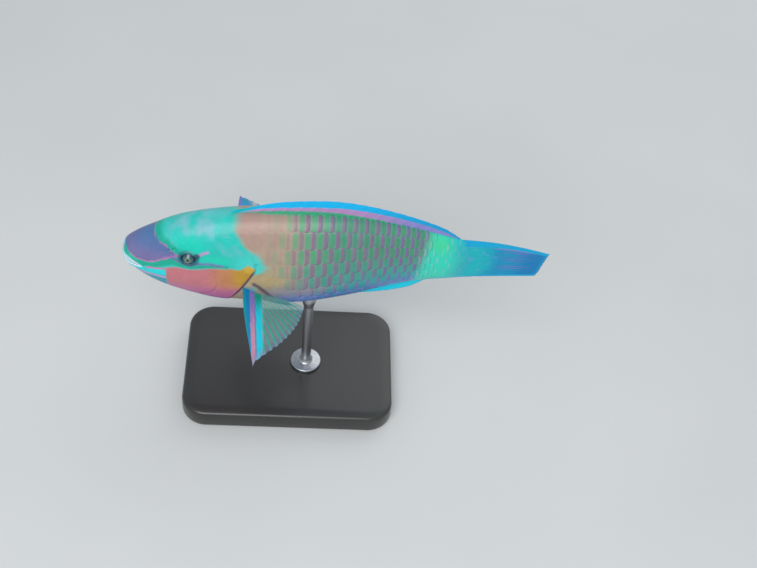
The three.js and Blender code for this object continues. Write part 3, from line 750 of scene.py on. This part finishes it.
# Scales
def coat_start(share, z):
    """Where the first scale of a row may stand: behind the gill cover, and further forward on the nape."""
    nape = mix(70.0, 84.0, step(share, 0.12, 0.42))
    return np.where(z > 9, nape, np.maximum(gill_edge(z) + 3.0, 60))


def scale_places():
    """Each scale's row and its place in the row, its middle's distance behind the snout, its share of the
    half girth, and its height. Every second row is moved by half a scale."""
    for row in range(ROWS):
        share = (row + ROW_OFFSET) / ROWS
        for column in range(-4, COLUMNS):
            i = column + 0.5 * (row % 2)
            centre = FIRST_SCALE + SCALE_PITCH * i - PITCH_FALL / 2 * i * i
            angle = angle_of_share(np.array(centre), np.array(share))
            z = float(body_point(np.array(centre), angle)[2])
            if coat_start(share, z) <= centre <= LAST_SCALE:
                yield row, i, centre, share, z


def scale_tints(s, rel, centre, share):
    """The colours of the middle oval and of the rear bar, by height on the flank and distance behind."""
    oval = plain(s.shape, 58, 144, 104)
    oval = laid(oval, (60, 166, 110), step(s, 152, 122))
    oval = laid(oval, (50, 160, 142), step(rel, 0.28, 0.55))
    oval = laid(oval, (30, 158, 168), step(rel, 0.58, 0.82))
    bar = plain(s.shape, 142, 92, 136)
    bar = laid(bar, (136, 96, 146), step(rel, 0.25, 0.5))
    bar = laid(bar, (118, 86, 172), step(s, 160, 184) * 0.7)
    bar = laid(bar, (116, 116, 184), step(rel, 0.6, 0.8))
    stalk = centre - stalk_start(share)
    pale = float(step(stalk, -9, -3)) if stalk > -8 else 0.0
    return oval, laid(bar, (176, 186, 214), pale)


def scale_shares(centre, share, z):
    """How strongly the oval and the bar of one scale show: nothing at the gill cover, all at mid body, and
    here and there a pale bar on the tail stalk."""
    start = 104 + 22 * float(step(share, 0.48, 0.72))
    body = float(step(centre, start - 7, start + 20) * step(centre - stalk_start(share), 2, -8))
    front = float(step(centre, 86, 100)) * (1 - body) * float(centre < 140) * float(step(share, 0.8, 0.6))
    lively = RANDOM.uniform(0.82, 1.0) * (1 - 0.7 * float(step(share, 0.70, 0.90)))
    if centre > 190 and body < 0.5:
        return 0.0, 0.5 * RANDOM.uniform(0, 1) ** 2 * float(step(centre, 228, 210)) * float(share < 0.8)
    if centre < 88 and z > 5:
        return 0.0, 0.0
    oval = (body + front * 0.34 * RANDOM.uniform(0, 1)) * lively
    return oval, (body + front * 0.30 * RANDOM.uniform(0, 1)) * lively


def one_scale(row, i, centre, share, z, side):
    """One scale as grids of values. a runs from its sunk front edge at 0 to its raised free edge at 1, and b
    from its upper edge at -1 to its lower one at 1. The free edge has round corners, all edges dip a
    little, the front edge stops at the gill cover, and the relief is low at the nape and the stalk."""
    a = np.linspace(0, 1, SCALE_LENGTHWISE)[:, None] + np.zeros((1, SCALE_ACROSS))
    b = np.linspace(-1, 1, SCALE_ACROSS)[None, :] + np.zeros((SCALE_LENGTHWISE, 1))
    pitch = SCALE_PITCH - PITCH_FALL * i
    rear = SCALE_REAR - SCALE_ROUNDING * np.abs(b) ** 4
    f = np.clip(share + b * SCALE_HALF_HEIGHT / ROWS * (0.90 + 0.10 * a), 0.003, 0.997)
    height = body_point(centre + 0 * b, angle_of_share(centre + 0 * b, f))[..., 2]
    cover = np.where(height < 14, gill_edge(height) + 0.9, 0)
    u = mix(np.clip((cover - centre) / pitch, -SCALE_FRONT, rear - 0.3), rear, a)
    s = np.minimum(centre + u * pitch + RANDOM.normal(0, 0.10), 229.5)
    angle = angle_of_share(s, f)
    normal = body_normal(s, angle)
    bare = body_point(s, angle)
    ramp = SCALE_RELIEF * (u + SCALE_FRONT) / (SCALE_FRONT + SCALE_REAR) - 0.12 * np.abs(b) ** 5
    h = mix(0.10, 1.0, float(step(centre, 100, 124) * step(centre, 206, 190))) * ramp - 0.05
    h = h - 0.07 * step(a, 0.84, 1.0) - 0.09 * b**8 - 0.06 * step(a, 0.14, 0.0)
    top = bare + normal * h[..., None]
    low = bare - normal * SCALE_ROOT
    for grid in (top, low):
        grid[..., 1] *= -side * tail_narrowing(s)
    rel = (back_at(s) - bare[..., 2]) / (back_at(s) - belly_at(s))
    oval, bar = scale_tints(s, rel, centre, share)
    oval_share, bar_share = scale_shares(centre, share, z)
    cell = np.array([(i + 4.5) / (COLUMNS + 5), row / ROWS])
    return {"top": top, "low": low, "oval": oval, "bar": bar,
            "scale": np.stack([0.5 + (u + 0.5 * (SCALE_REAR - rear)) / 1.5, 0.5 + b * 0.5], -1),
            "OFBake": cell + np.stack([0.002 + a * 0.028, 0.006 + (b + 1) * 0.5 * 0.112], -1),
            "paint": skin_colour(s, bare[..., 1], bare[..., 2]), "blotch": blotch_share(s, bare[..., 2]),
            "oval_share": np.full(s.shape, oval_share), "bar_share": np.full(s.shape, bar_share)}


def make_scales(side, word, material):
    """Overlapping plates in staggered rows. Each is a small grid, walled down from its border and closed
    below by a fan under the skin."""
    scales = [one_scale(*place, side) for place in scale_places()]
    count, per = len(scales), SCALE_LENGTHWISE * SCALE_ACROSS
    values = {key: np.stack([scale[key] for scale in scales]).reshape(count, per, -1) for key in scales[0]}
    row, column = border_of(SCALE_LENGTHWISE, SCALE_ACROSS)
    loop = row * SCALE_ACROSS + column
    m = len(loop)
    size = per + m + 1

    def spread(top, below):
        """Values of the grid, of its border's copy under the skin and of the middle of that copy."""
        edge = below[:, loop]
        return np.concatenate([top, edge, edge.mean(1, keepdims=True)], 1)

    ring = np.arange(m)
    ring_after = np.roll(ring, -1)
    quads, _ = grid_faces(SCALE_LENGTHWISE, SCALE_ACROSS)
    walls = np.stack([np.roll(loop, -1), loop, per + ring, per + ring_after], -1)
    fans = np.stack([np.full(m, size - 1), per + ring_after, per + ring], -1)
    offsets = (np.arange(count) * size)[:, None, None]
    faces = []
    for part in (quads, walls, fans):
        faces += list((part[:, ::-side][None] + offsets).reshape(-1, part.shape[1]))
    corners = np.concatenate(faces)
    points = spread(values["top"], values["low"]).reshape(-1, 3)
    uvs = {key: spread(values[key], values[key]).reshape(-1, 2)[corners] for key in ("scale", "OFBake")}
    fields = {key: spread(values[key], values[key]).reshape(-1, 3) for key in ("paint", "oval", "bar")}
    for key in ("oval_share", "bar_share", "blotch"):
        fields[key] = spread(values[key], values[key]).ravel()
    put_mesh(f"scales_{word}", to_world(points), faces, uvs, material, fields, (), count * len(quads))


# Fins
def fin(name, node, rays, span, root_half, material, length, per_ray=9, bow=0.0):
    """A membrane between rays: points run from each root to its tip with a slight arch, the two faces
    stand apart by a thickness that falls towards the edge, and each ray is a ridge that forks beyond the
    middle. Each point keeps its distance in mm from the straight line of the first ray."""
    u = np.linspace(0, 1, per_ray * (rays - 1) + 1)
    v = np.linspace(0, 1, length)[:, None]
    root, tip, normal, arch = span(u)
    across = u * (rays - 1)
    to_ray = np.abs(across - np.round(across))
    dip = 0.010 + 0.012 * RANDOM.uniform(0, 1, rays - 1)[np.minimum(across.astype(int), rays - 2)]
    reach = v * mix(1.0, 1 - dip * (2 * to_ray) ** 2, v)
    p = root + (tip - root) * reach[..., None]
    p = p + normal * (bow * np.sin(math.pi * v) * v)[..., None]
    p = p + arch * np.sin(math.pi * v)[..., None]
    first = unit(tip[0] - root[0])
    aside = unit(tip[-1] - root[0] - first * np.dot(tip[-1] - root[0], first))
    from_edge = (p - root[0]) @ aside
    fork = 0.16 * step(v, 0.45, 1.0)
    ridge = np.exp(-(((to_ray - fork) / mix(0.16, 0.10, v)) ** 2))
    thin = mix(root_half, 0.16, np.minimum(1, v * 1.7)) + 0.26 * (1 - 0.7 * v) * ridge
    thin = thin * mix(1.0, 0.45, step(v, 0.9, 1.0)) * mix(0.4, 1.0, step(np.minimum(u, 1 - u), 0.0, 0.10))
    fields = {"ray": np.tile(to_ray, 2 * length), "from_edge": np.tile(from_edge.ravel(), 2)}
    apart = normal * thin[..., None]
    put_leaf(name, p + apart, p - apart, material, fields, node)


def spot(s, y, z):
    """Points from their three coordinates, given as arrays or as single numbers."""
    return np.stack(np.broadcast_arrays(np.asarray(s, float), y, z), -1)


def dorsal_span(u):
    """Each ray's root and tip, the membrane's normal and its arch: the rays rake back off the midline."""
    s = mix(*BACK_FIN_S, u)
    height = along(BACK_FIN_HEIGHT, u)
    run = height / np.tan(np.radians(along(BACK_FIN_RAKE, u)))
    fall = (back_at(s) - back_at(s + run)) * 0.9
    tip = spot(s + run, -0.8 * np.sin(math.pi * u), back_at(s) + height - fall)
    return spot(s, 0.0, back_at(s) - 2.2), tip, spot(0 * u, 1.0, 0.0), spot(0 * u, 0.0, 0.0)


def anal_span(u):
    """As the back fin's, downwards, with every ray raked back by the same angle."""
    s = mix(*UNDER_FIN_S, u)
    depth = along(UNDER_FIN_DEPTH, u)
    run = depth * 1.3
    tip = spot(s + run, 0.0, belly_at(s + run) - depth)
    return spot(s, 0.0, belly_at(s) + 2.2), tip, spot(0 * u, 1.0, 0.0), spot(0 * u, 0.0, 0.0)


def tail_span(u):
    """Roots on a shallow curve at the end of the stalk; the upper rays arch upwards."""
    root = spot(mix(*TAIL_ROOT_S, u) + 7 * np.sin(math.pi * u), 0.0, mix(*TAIL_ROOT_Z, u))
    tip = spot(along(TAIL_TIP_S, u), 0.0, along(TAIL_TIP_Z, u))
    return root, tip, spot(0 * u, 1.0, 0.0), spot(0 * u, 0.0, 2.6 * (1 - u) ** 3)


def pectoral_span(side):
    """A chest fin's rays fan out from the flank: each is swept back from straight out and droops."""
    def span(u):
        s, z = mix(*CHEST_FIN_S, u), mix(*CHEST_FIN_Z, u)
        back = np.radians(mix(*CHEST_FIN_SWEEP[side], u**1.1))
        down = np.radians(mix(*CHEST_FIN_DROOP, u))
        reach = mix(*CHEST_FIN_LENGTH[side], u**CHEST_FIN_FALL[side])
        root = flank(s, z, side, -2.2 + 0 * s)
        tip = flank(s, z, side) + spot(reach * np.sin(back), side * reach * np.cos(back) * np.cos(down),
                                       -reach * np.cos(back) * np.sin(down))
        normal = unit(np.cross(unit(tip - root), np.array([0.75, 0, -0.66])))
        return root, tip, normal, spot(-CHEST_FIN_ARCH * (1 - u) ** 2, 0.0, 0.0)

    return span


def pelvic_span(side):
    """A belly fin's rays lie folded back along the belly."""
    def span(u):
        s, y = mix(*BELLY_FIN_S, u), side * mix(*BELLY_FIN_Y, u)
        tip_s = s + mix(*BELLY_FIN_LENGTH, u)
        root = spot(s, y, belly_at(s) + 3.0 + y * y / 40)
        tip = spot(tip_s, y + side * 1.5, belly_at(tip_s) - 2.4 + y * y / 60)
        normal = np.broadcast_to(unit(np.array([0.08, side * -0.25, 1.0])), root.shape)
        return root, tip, normal, spot(0 * u, 0.0, 0.0)

    return span


def fin_finish(name, paint, clear=None, rough=0.38):
    """Membrane over rays: paint(f, u, v, ray) gives the colour and clear(f, u, v, ray) the opacity."""
    f = Finish(name)
    u, v = f.uv("web")
    ray = f.value("ray")
    cloud = f.noise(260, 3)
    shade = paint(f, u, v, ray)
    shade = f.mix(0.10, shade, f.mix(cloud, f.colour(20, 60, 80), f.colour(255, 255, 255)), "OVERLAY")
    relief = f.bump(f.noise(1400, 2, 0.5, (0.35, 1, 1)), 0.15, 0.0004)
    alpha = clear(f, u, v, ray) if clear else None
    return f.finish(shade, rough + cloud * 0.15, relief, alpha, Specular_IOR_Level=0.28, Coat_Weight=0.1,
                    Coat_Roughness=0.2)


def dorsal_paint(f, u, v, ray):
    """Green at the root, then lilac, and blue at the edge; the bands' bounds drift along the fin."""
    wave = (f.noise(160, 2) - 0.5) * 0.10
    low = v + wave + f.step(u, 0.30, 0.80) * 0.12
    high = v + wave - f.step(u, 0.20, 0.55) * 0.08 - f.step(u, 0.55, 0.90) * 0.08
    lilac = f.mix(f.step(u, 0.5, 0.85), f.colour(184, 142, 194), f.colour(136, 136, 204))
    shade = f.mix(f.step(low, 0.28, 0.36), f.colour(74, 172, 134), lilac)
    margin = f.mix(f.step(u, 0.40, 0.90), f.colour(0, 188, 246), f.colour(0, 160, 214))
    shade = f.mix(f.step(high, 0.50, 0.57), shade, margin)
    shade = f.mix(f.step(v, 0.94, 0.99) * 0.4, shade, f.colour(0, 146, 214))
    return f.mix(f.step(u, 0.10, 0.02), shade, f.colour(0, 186, 196))


def anal_paint(f, u, v, ray):
    """A narrow blue-violet band at the root and cyan to the edge."""
    shade = f.mix(f.step(v, 0.25, 0.4), f.colour(50, 150, 160), f.colour(110, 120, 196))
    shade = f.mix(f.step(v, 0.38, 0.48), shade, f.colour(0, 212, 236))
    return f.mix(f.step(v, 0.93, 1.0) * 0.6, shade, f.colour(0, 130, 206))


def tail_paint(f, u, v, ray):
    """Turquoise at the root, blue behind, violet streaks on the rays and bright upper and lower edges."""
    wave = (f.noise(220, 3) - 0.5) * 0.22
    edge = u + (f.noise(120, 1) - 0.5) * 0.03
    shade = f.mix(f.step(v + wave, 0.16, 0.46), f.colour(16, 180, 190), f.colour(0, 146, 190))
    shade = f.mix(f.step(v, 0.55, 0.85) * 0.7, shade, f.colour(0, 114, 182))
    blotch = f.step(f.noise(190, 1), 0.56, 0.72) * f.step(v, 0.5, 0.3)
    shade = f.mix(blotch * 0.5, shade, f.colour(112, 156, 206))
    streak = f.step(ray, 0.34, 0.14) * f.step(v, 0.30, 0.55) * f.step(v, 0.95, 0.62)
    streak = streak * f.step(f.noise(95, 2, 0.6, (0.16, 1, 3.2)), 0.46, 0.60)
    shade = f.mix(streak * 0.8, shade, f.colour(116, 106, 190))
    under = f.step(edge, 0.165, 0.140) * f.step(v, 0.30, 0.5) * f.step(v, 0.9, 0.7)
    shade = f.mix(under * 0.8, shade, f.colour(150, 118, 200))
    margin = f.step(edge, 0.135, 0.11) + f.step(edge, 0.91, 0.95) * f.step(v, 0.12, 0.3)
    shade = f.mix(margin, shade, f.colour(0, 166, 212))
    return f.mix(f.step(v, 0.93, 1.0) * 0.35, shade, f.colour(0, 180, 226))


def pectoral_paint(f, u, v, ray):
    """Stripes along the front edge whose bounds in mm from the first ray's line close up outwards."""
    far = f.value("from_edge") + (f.noise(180, 2) - 0.5) * 1.6
    shade = f.mix(f.step(far + v * 1.5, -0.6, 0.6), f.colour(0, 150, 160), f.colour(0, 128, 180))
    shade = f.mix(f.step(v, 0.55, 0.95) * 0.6, shade, f.colour(0, 150, 190))
    violet = f.mix(f.step(v, 0.25, 0.7), f.colour(136, 116, 192), f.colour(196, 138, 164))
    shade = f.mix(f.step(far + v * 5.0, 3.8, 4.6), shade, violet)
    shade = f.mix(f.step(far + v * 5.0, 7.0, 7.5), shade, f.colour(112, 120, 170))
    cyan = f.mix(f.step(v, 0.18, 0.5), f.colour(20, 156, 136), f.colour(14, 200, 220))
    shade = f.mix(f.step(far + v * 5.0, 7.8, 8.6), shade, cyan)
    rays = f.mix(f.step(ray, 0.30, 0.1), f.colour(156, 178, 186), f.colour(60, 182, 158))
    shade = f.mix(f.step(far + v * 6.5, 12.6, 14.4), shade, rays)
    shade = f.mix(f.step(v, 0.16, 0.05) * f.step(u, 0.3, 0.4), shade, f.colour(90, 140, 150))
    return f.mix(f.step(v, 0.90, 1.0) * 0.75, shade, f.colour(150, 178, 214))


def far_pectoral_paint(f, u, v, ray):
    """The right fin shows its other face past the back: a thin violet edge and then plain blue."""
    far = f.value("from_edge") + (f.noise(180, 2) - 0.5) * 1.6
    shade = f.mix(f.step(far, 0.4, 1.4), f.colour(112, 116, 200), f.colour(0, 150, 196))
    shade = f.mix(f.step(far, 7.0, 12.0), shade, f.colour(20, 136, 168))
    rays = f.mix(f.step(ray, 0.30, 0.1), f.colour(110, 160, 184), f.colour(40, 160, 170))
    return f.mix(f.step(far + v * 4.0, 14.0, 19.0), shade, rays)


def pectoral_clear(f, u, v, ray):
    """Opaque in front; behind, the web is clear between denser rays and closes up towards the root."""
    web = 0.30 + f.step(ray, 0.26, 0.08) * 0.35
    solid = f.step(f.value("from_edge") + v * 6.5, 15.5, 12.8)
    root = f.step(v, 0.3, 0.08) * 0.5
    total = solid + (1 - solid) * (web + root * (1 - web))
    return total * (1 - f.step(v, 0.86, 1.0) * 0.3)


def pelvic_paint(f, u, v, ray):
    """A cyan front edge and pale blue behind, with greener rays."""
    shade = f.mix(f.step(u, 0.16, 0.3), f.colour(0, 190, 226), f.colour(120, 160, 196))
    return f.mix(f.step(ray, 0.3, 0.1) * 0.5, shade, f.colour(90, 176, 176))


def make_fins():
    """All seven fins, each with its rays, its root's half thickness and its number of points along a ray."""
    fin("fin_on_back", "dorsal_fin", 19, dorsal_span, 0.9, fin_finish("back fin", dorsal_paint), 40)
    fin("fin_under_tail", "anal_fin", 12, anal_span, 0.8, fin_finish("under fin", anal_paint), 36)
    fin("fin_of_tail", "tail_fin", 15, tail_span, 1.4, fin_finish("tail fin", tail_paint), 80, 10)
    chest = fin_finish("chest fin", pectoral_paint, pectoral_clear)
    under = fin_finish("belly fin", pelvic_paint)
    far_chest = fin_finish("far chest fin", far_pectoral_paint, pectoral_clear)
    for (side, word), finish in zip(SIDES, (chest, far_chest)):
        fin(f"chest_fin_{word}", f"pectoral_fin_{word}", 14, pectoral_span(side), 0.95, finish, 80, 10, 2.5)
        fin(f"belly_fin_{word}", f"pelvic_fin_{word}", 6, pelvic_span(side), 0.85, under, 40, 8, -1.2)


# Eyes
def eye_finish():
    """Pupil, iris and white worked out from the distance from the eye's axis, under a clear coat."""
    f = Finish("eye")
    _, r = f.uv("iris")
    fine = f.noise(2600, 3)
    ring = r + (fine - 0.5) * 0.05
    shade = f.mix(f.step(ring, 0.17, 0.22), f.colour(12, 24, 30), f.colour(104, 136, 104))
    shade = f.mix(f.step(ring, 0.26, 0.44), shade, f.colour(62, 104, 104))
    shade = f.mix(f.step(ring, 0.42, 0.60), shade, f.colour(38, 68, 92))
    shade = f.mix(f.step(r, 0.66, 0.82), shade, f.colour(22, 46, 66))
    shade = f.mix(f.step(fine, 0.5, 0.7) * f.step(r, 0.26, 0.34) * 0.25, shade, f.colour(150, 176, 140))
    return f.finish(shade, 0.18 + f.step(r, 0.8, 0.95) * 0.2, None, Coat_Weight=0.6, Coat_Roughness=0.06)


def make_eye(side, word, material):
    """A flattened ball turned about its axis: the profile bulges a little more over the pupil."""
    rings, turns = 38, 64
    t = np.linspace(0, math.pi, rings + 2)[1:-1, None]
    q = 2 * math.pi * np.arange(turns)[None, :] / turns
    radius = EYE_RADIUS * np.sin(t)
    height = EYE_HALF_DEPTH * np.cos(t) + EYE_BULGE * np.exp(-((t / 0.5) ** 2)) + 0 * q
    s, z = np.array(EYE_S), np.array(EYE_Z)
    axis = body_normal(s, angle_at(s, z))
    axis = unit(axis * [1.0, side * np.sign(axis[1]), 1.1])
    first = unit(np.cross(axis, [0, 0, 1.0]))
    second = np.cross(axis, first)
    centre = flank(s, z, side) - axis * EYE_SUNK
    p = centre + axis * height[..., None] + first * (radius * np.cos(q))[..., None]
    p = p + second * (radius * np.sin(q))[..., None]
    poles = [centre + axis * (EYE_HALF_DEPTH + EYE_BULGE), centre - axis * EYE_HALF_DEPTH]
    points = np.concatenate([p.reshape(-1, 3), poles])
    faces, _ = tube(rings, turns)
    corners = np.concatenate(faces)
    from_axis = np.where(t < math.pi / 2, np.sin(t), 1.0) + 0 * q
    from_axis = np.concatenate([from_axis.ravel(), [0.0, 1.0]])[corners]
    share = np.concatenate([(t / math.pi + 0 * q).ravel(), [0.0, 1.0]])[corners]
    turn = np.concatenate([(q + 0 * t).ravel(), [0.0, 0.0]])[corners]
    bake = 0.5 + 0.49 * share[:, None] * np.stack([np.cos(turn), np.sin(turn)], -1)
    maps = {"iris": np.stack([0 * from_axis, from_axis], -1), "OFBake": bake}
    node = f"eye_{word}"
    turn_out(put_mesh(f"eyeball_{word}", to_world(points), faces, maps, material, {}, (node,)))


# Teeth
def tooth_finish():
    """Blue-white fused teeth: rows of small rounded cells with darker joints."""
    f = Finish("tooth plate")
    _, v = f.uv("web")
    cells = f.node("TexVoronoi", {"feature": "DISTANCE_TO_EDGE"}, {"Vector": f.place, "Scale": 520.0})
    joint = f.step(cells, 0.0, 0.10)
    shade = f.mix(joint, f.colour(150, 196, 212), f.colour(206, 230, 238))
    shade = f.mix(f.step(f.noise(120, 1), 0.45, 0.65) * 0.4, shade, f.colour(206, 190, 216))
    shade = f.mix(f.step(v, 0.45, 0.0) * 0.45, shade, f.colour(70, 200, 214))
    return f.finish(shade, 0.22, f.bump(joint, 0.22, 0.0005), Coat_Weight=0.5, Coat_Roughness=0.08)


def make_beak(name, node, lip, bite, point, material):
    """A plate wrapped round the snout from one mouth corner to the other, from under the lip to the bite,
    whose edge is scalloped by the teeth. They point down for -1 and up for 1."""
    t = np.linspace(-1, 1, 161)
    w = np.linspace(0, 1, 18)[:, None]
    s = (MOUTH_CORNER - 2.2) * np.abs(t) ** 1.7 + (0.55 if point < 0 else 1.3) + 0 * w
    teeth = 0.28 * np.abs(np.sin(t * 26)) * (1 - np.abs(t) ** 3)
    z = mix(lip(s), bite - point * teeth - 0.5 * t**2, w)
    front = mix(-0.5, 0.75, step(np.abs(t), 0.0, 0.45)) - 0.7 * t**4 + 0.45 * np.sin(math.pi * w)
    angle = angle_at(s, z)
    normal = body_normal(s, angle)
    outer = body_point(s, angle) + normal * front[..., None]
    inner = body_point(s, angle) + normal * (front - BEAK_THICKNESS)[..., None]
    for grid in (outer, inner):
        grid[..., 1] = np.sign(t) * np.abs(grid[..., 1])
    put_leaf(name, outer, inner, material, {}, node)


# Stand
def lathe(profile, centre, turns):
    """A closed solid turned about a vertical axis from a profile of radius and height pairs."""
    r, z = np.array(profile, float).T[:, :, None]
    q = 2 * math.pi * np.arange(turns)[None, :] / turns
    p = np.stack([centre[0] + r * np.cos(q), centre[1] + r * np.sin(q), z + 0 * q], -1)
    points = np.concatenate([p.reshape(-1, 3), [p[0].mean(0), p[-1].mean(0)]]) * MM
    return points, *tube(len(profile), turns, 0.015, 0.01)


def rounded(corners, radius, steps=5):
    """A profile whose inner corners are replaced by small arcs."""
    out = [corners[0]]
    for before, here, after in zip(corners, corners[1:], corners[2:]):
        here = np.array(here, float)
        a, b = before - here, after - here
        cut = min(radius, np.linalg.norm(a) * 0.45, np.linalg.norm(b) * 0.45)
        first, last = here + unit(a) * cut, here + unit(b) * cut
        for t in np.linspace(0, 1, steps):
            out.append(tuple(mix(mix(first, here, t), mix(here, last, t), t)))
    return out + [corners[-1]]


def steel_finish():
    """Brushed steel: fine lines along the rod."""
    f = Finish("rod steel")
    brush = f.noise(500, 3, 0.6, (1, 1, 0.03))
    rough = 0.24 + brush * 0.2
    shade = f.mix(brush, f.colour(150, 152, 156), f.colour(214, 216, 219))
    return f.finish(shade, rough, f.bump(brush, 0.08, 0.0003), Metallic=1.0)


def base_finish():
    """Dark satin lacquer over metal: a fine orange-peel skin, faint dust and slightly duller patches."""
    f = Finish("base lacquer")
    peel = f.noise(620, 2)
    patch = f.noise(22, 4)
    dust = f.step(f.noise(2400, 2), 0.66, 0.74)
    shade = f.mix(patch, f.colour(38, 36, 35), f.colour(50, 48, 46))
    shade = f.mix(dust * 0.25, shade, f.colour(120, 120, 118))
    return f.finish(shade, 0.30 + patch * 0.16, f.bump(peel, 0.10, 0.0004), Coat_Weight=0.35,
                    Coat_Roughness=0.18)


def make_rod():
    """The rod, from its flange on the base to its wider head, which closes on the belly."""
    foot = BASE_HEIGHT + 0.05
    top = AXIS_HEIGHT + float(belly_at(np.array(ROD_S))) + 0.6
    profile = rounded([(0.02, foot), (FLANGE_RADIUS, foot), (FLANGE_RADIUS, foot + 2.5), (5, foot + 3.2),
                       (ROD_RADIUS, foot + 5.5), (ROD_RADIUS, top - 12), (ROD_HEAD_RADIUS, top - 6),
                       (ROD_HEAD_RADIUS, top), (0.02, top)], 1.0)
    points, faces, maps = lathe(profile, (SNOUT_X + ROD_S, 0), ROD_TURNS)
    rod = put_mesh("rod", points, faces, {"OFBake": maps}, steel_finish(), {}, ("stand_rod",))
    turn_out(rod)


def make_base():
    """A rectangle with round corners, lofted up its eased edges and closed over its two flat faces."""
    q = 2 * math.pi * (np.arange(BASE_TURNS) + 0.5) / BASE_TURNS
    rings = []
    for inset, z in BASE_RINGS:
        corner = max(BASE_CORNER - inset, 4.0)
        x = BASE_LENGTH / 2 - inset - corner
        y = max(BASE_WIDTH / 2 - inset - corner, 0.0)
        px = np.sign(np.cos(q)) * x + corner * np.cos(q)
        py = np.sign(np.sin(q)) * y + min(corner, BASE_WIDTH / 2 - inset) * np.sin(q)
        rings.append(np.stack([px, py, np.full(BASE_TURNS, z)], -1))
    points = np.concatenate([*rings, [[0, 0, 0], [0, 0, BASE_HEIGHT]]]) * MM
    faces, _ = tube(len(rings), BASE_TURNS)
    corners = np.concatenate(faces)
    flat = points[:, :2] / 0.16
    grow = np.concatenate([np.repeat(np.linspace(1.0, 0.35, len(rings)), BASE_TURNS), [1.0, 0.0]])
    maps = (flat * grow[:, None] * 0.9 + 0.5)[corners]
    under = slice(-6 * BASE_TURNS, -3 * BASE_TURNS)
    maps[under] = 0.02 + 0.05 * (flat[corners[under]] + 0.5)
    base = put_mesh("base", points, faces, {"OFBake": maps}, base_finish(), {}, ("stand_base",))
    turn_out(base)


# Studio
def make_floor():
    """A plain pale floor."""
    f = Finish("floor")
    shade = f.mix(f.noise(6, 2), f.colour(205, 206, 205), f.colour(214, 214, 212))
    mesh = bpy.data.meshes.new("floor")
    mesh.from_pydata([(-3, -3, 0), (3, -3, 0), (3, 3, 0), (-3, 3, 0)], [], [(0, 1, 2, 3)])
    mesh.materials.append(f.finish(shade, 0.8))
    floor = bpy.data.objects.new("floor", mesh)
    bpy.context.scene.collection.objects.link(floor)


def make_lights():
    """A wide soft light above the fish's left, a weaker one from the right and an even pale surround."""
    world = bpy.data.worlds.new("studio")
    world.use_nodes = True
    surround = world.node_tree.nodes["Background"]
    surround.inputs["Color"].default_value = SURROUND
    surround.inputs["Strength"].default_value = SURROUND_STRENGTH
    bpy.context.scene.world = world
    for name, place, size, power in LIGHTS:
        light = bpy.data.lights.new(name, "AREA")
        light.size = size
        light.energy = power
        lamp = bpy.data.objects.new(name, light)
        lamp.location = place
        lamp.rotation_euler = (LIGHT_AIM - lamp.location).to_track_quat("-Z", "Y").to_euler()
        bpy.context.scene.collection.objects.link(lamp)


def make_camera():
    """The camera looks down on the left side, rolled a little, and its view is moved sideways so that the
    target, a place on the body's axis, falls on its pixel."""
    around, above, roll = (math.radians(d) for d in (CAMERA_AROUND, CAMERA_UP, CAMERA_ROLL))
    level = np.array([math.cos(around), math.sin(around), 0.0])
    aside = np.array([math.sin(around), -math.cos(around), 0.0])
    back = aside * math.cos(above) + [0.0, 0.0, math.sin(above)]
    upright = np.cross(back, level)
    right = level * math.cos(roll) + upright * math.sin(roll)
    up = upright * math.cos(roll) - level * math.sin(roll)
    place = np.array([TARGET_S, 0.0, 0.0]) + back * CAMERA_DISTANCE
    place = place - right * (TARGET_PIXEL[0] - IMAGE_WIDTH / 2) / PIXELS_PER_MM
    place = place + up * (TARGET_PIXEL[1] - IMAGE_HEIGHT / 2) / PIXELS_PER_MM
    data = bpy.data.cameras.new("camera")
    data.sensor_width = SENSOR_WIDTH
    data.lens = PIXELS_PER_MM * CAMERA_DISTANCE / IMAGE_WIDTH * SENSOR_WIDTH
    data.clip_start = 0.02
    camera = bpy.data.objects.new("camera", data)
    matrix = Matrix([[right[k], up[k], back[k], 0.0] for k in range(3)] + [[0, 0, 0, 1]])
    matrix.translation = to_world(place)[0].tolist()
    camera.matrix_world = matrix
    bpy.context.scene.collection.objects.link(camera)
    bpy.context.scene.camera = camera


make_skin()
SCALES = scale_finish()
for SIDE, WORD in SIDES:
    make_scales(SIDE, WORD, SCALES)
make_fins()
EYES = eye_finish()
for SIDE, WORD in SIDES:
    make_eye(SIDE, WORD, EYES)
TEETH = tooth_finish()
make_beak("teeth_above", "upper_beak", lambda s: upper_lip(s) - 0.3, BITE_Z + 0.1, -1, TEETH)
make_beak("teeth_below", "lower_beak", lambda s: lower_lip(s) + 0.2, BITE_Z - 0.25, 1, TEETH)
make_rod()
make_base()
make_floor()
make_lights()
make_camera()
bpy.context.scene.view_settings.view_transform = "Standard"
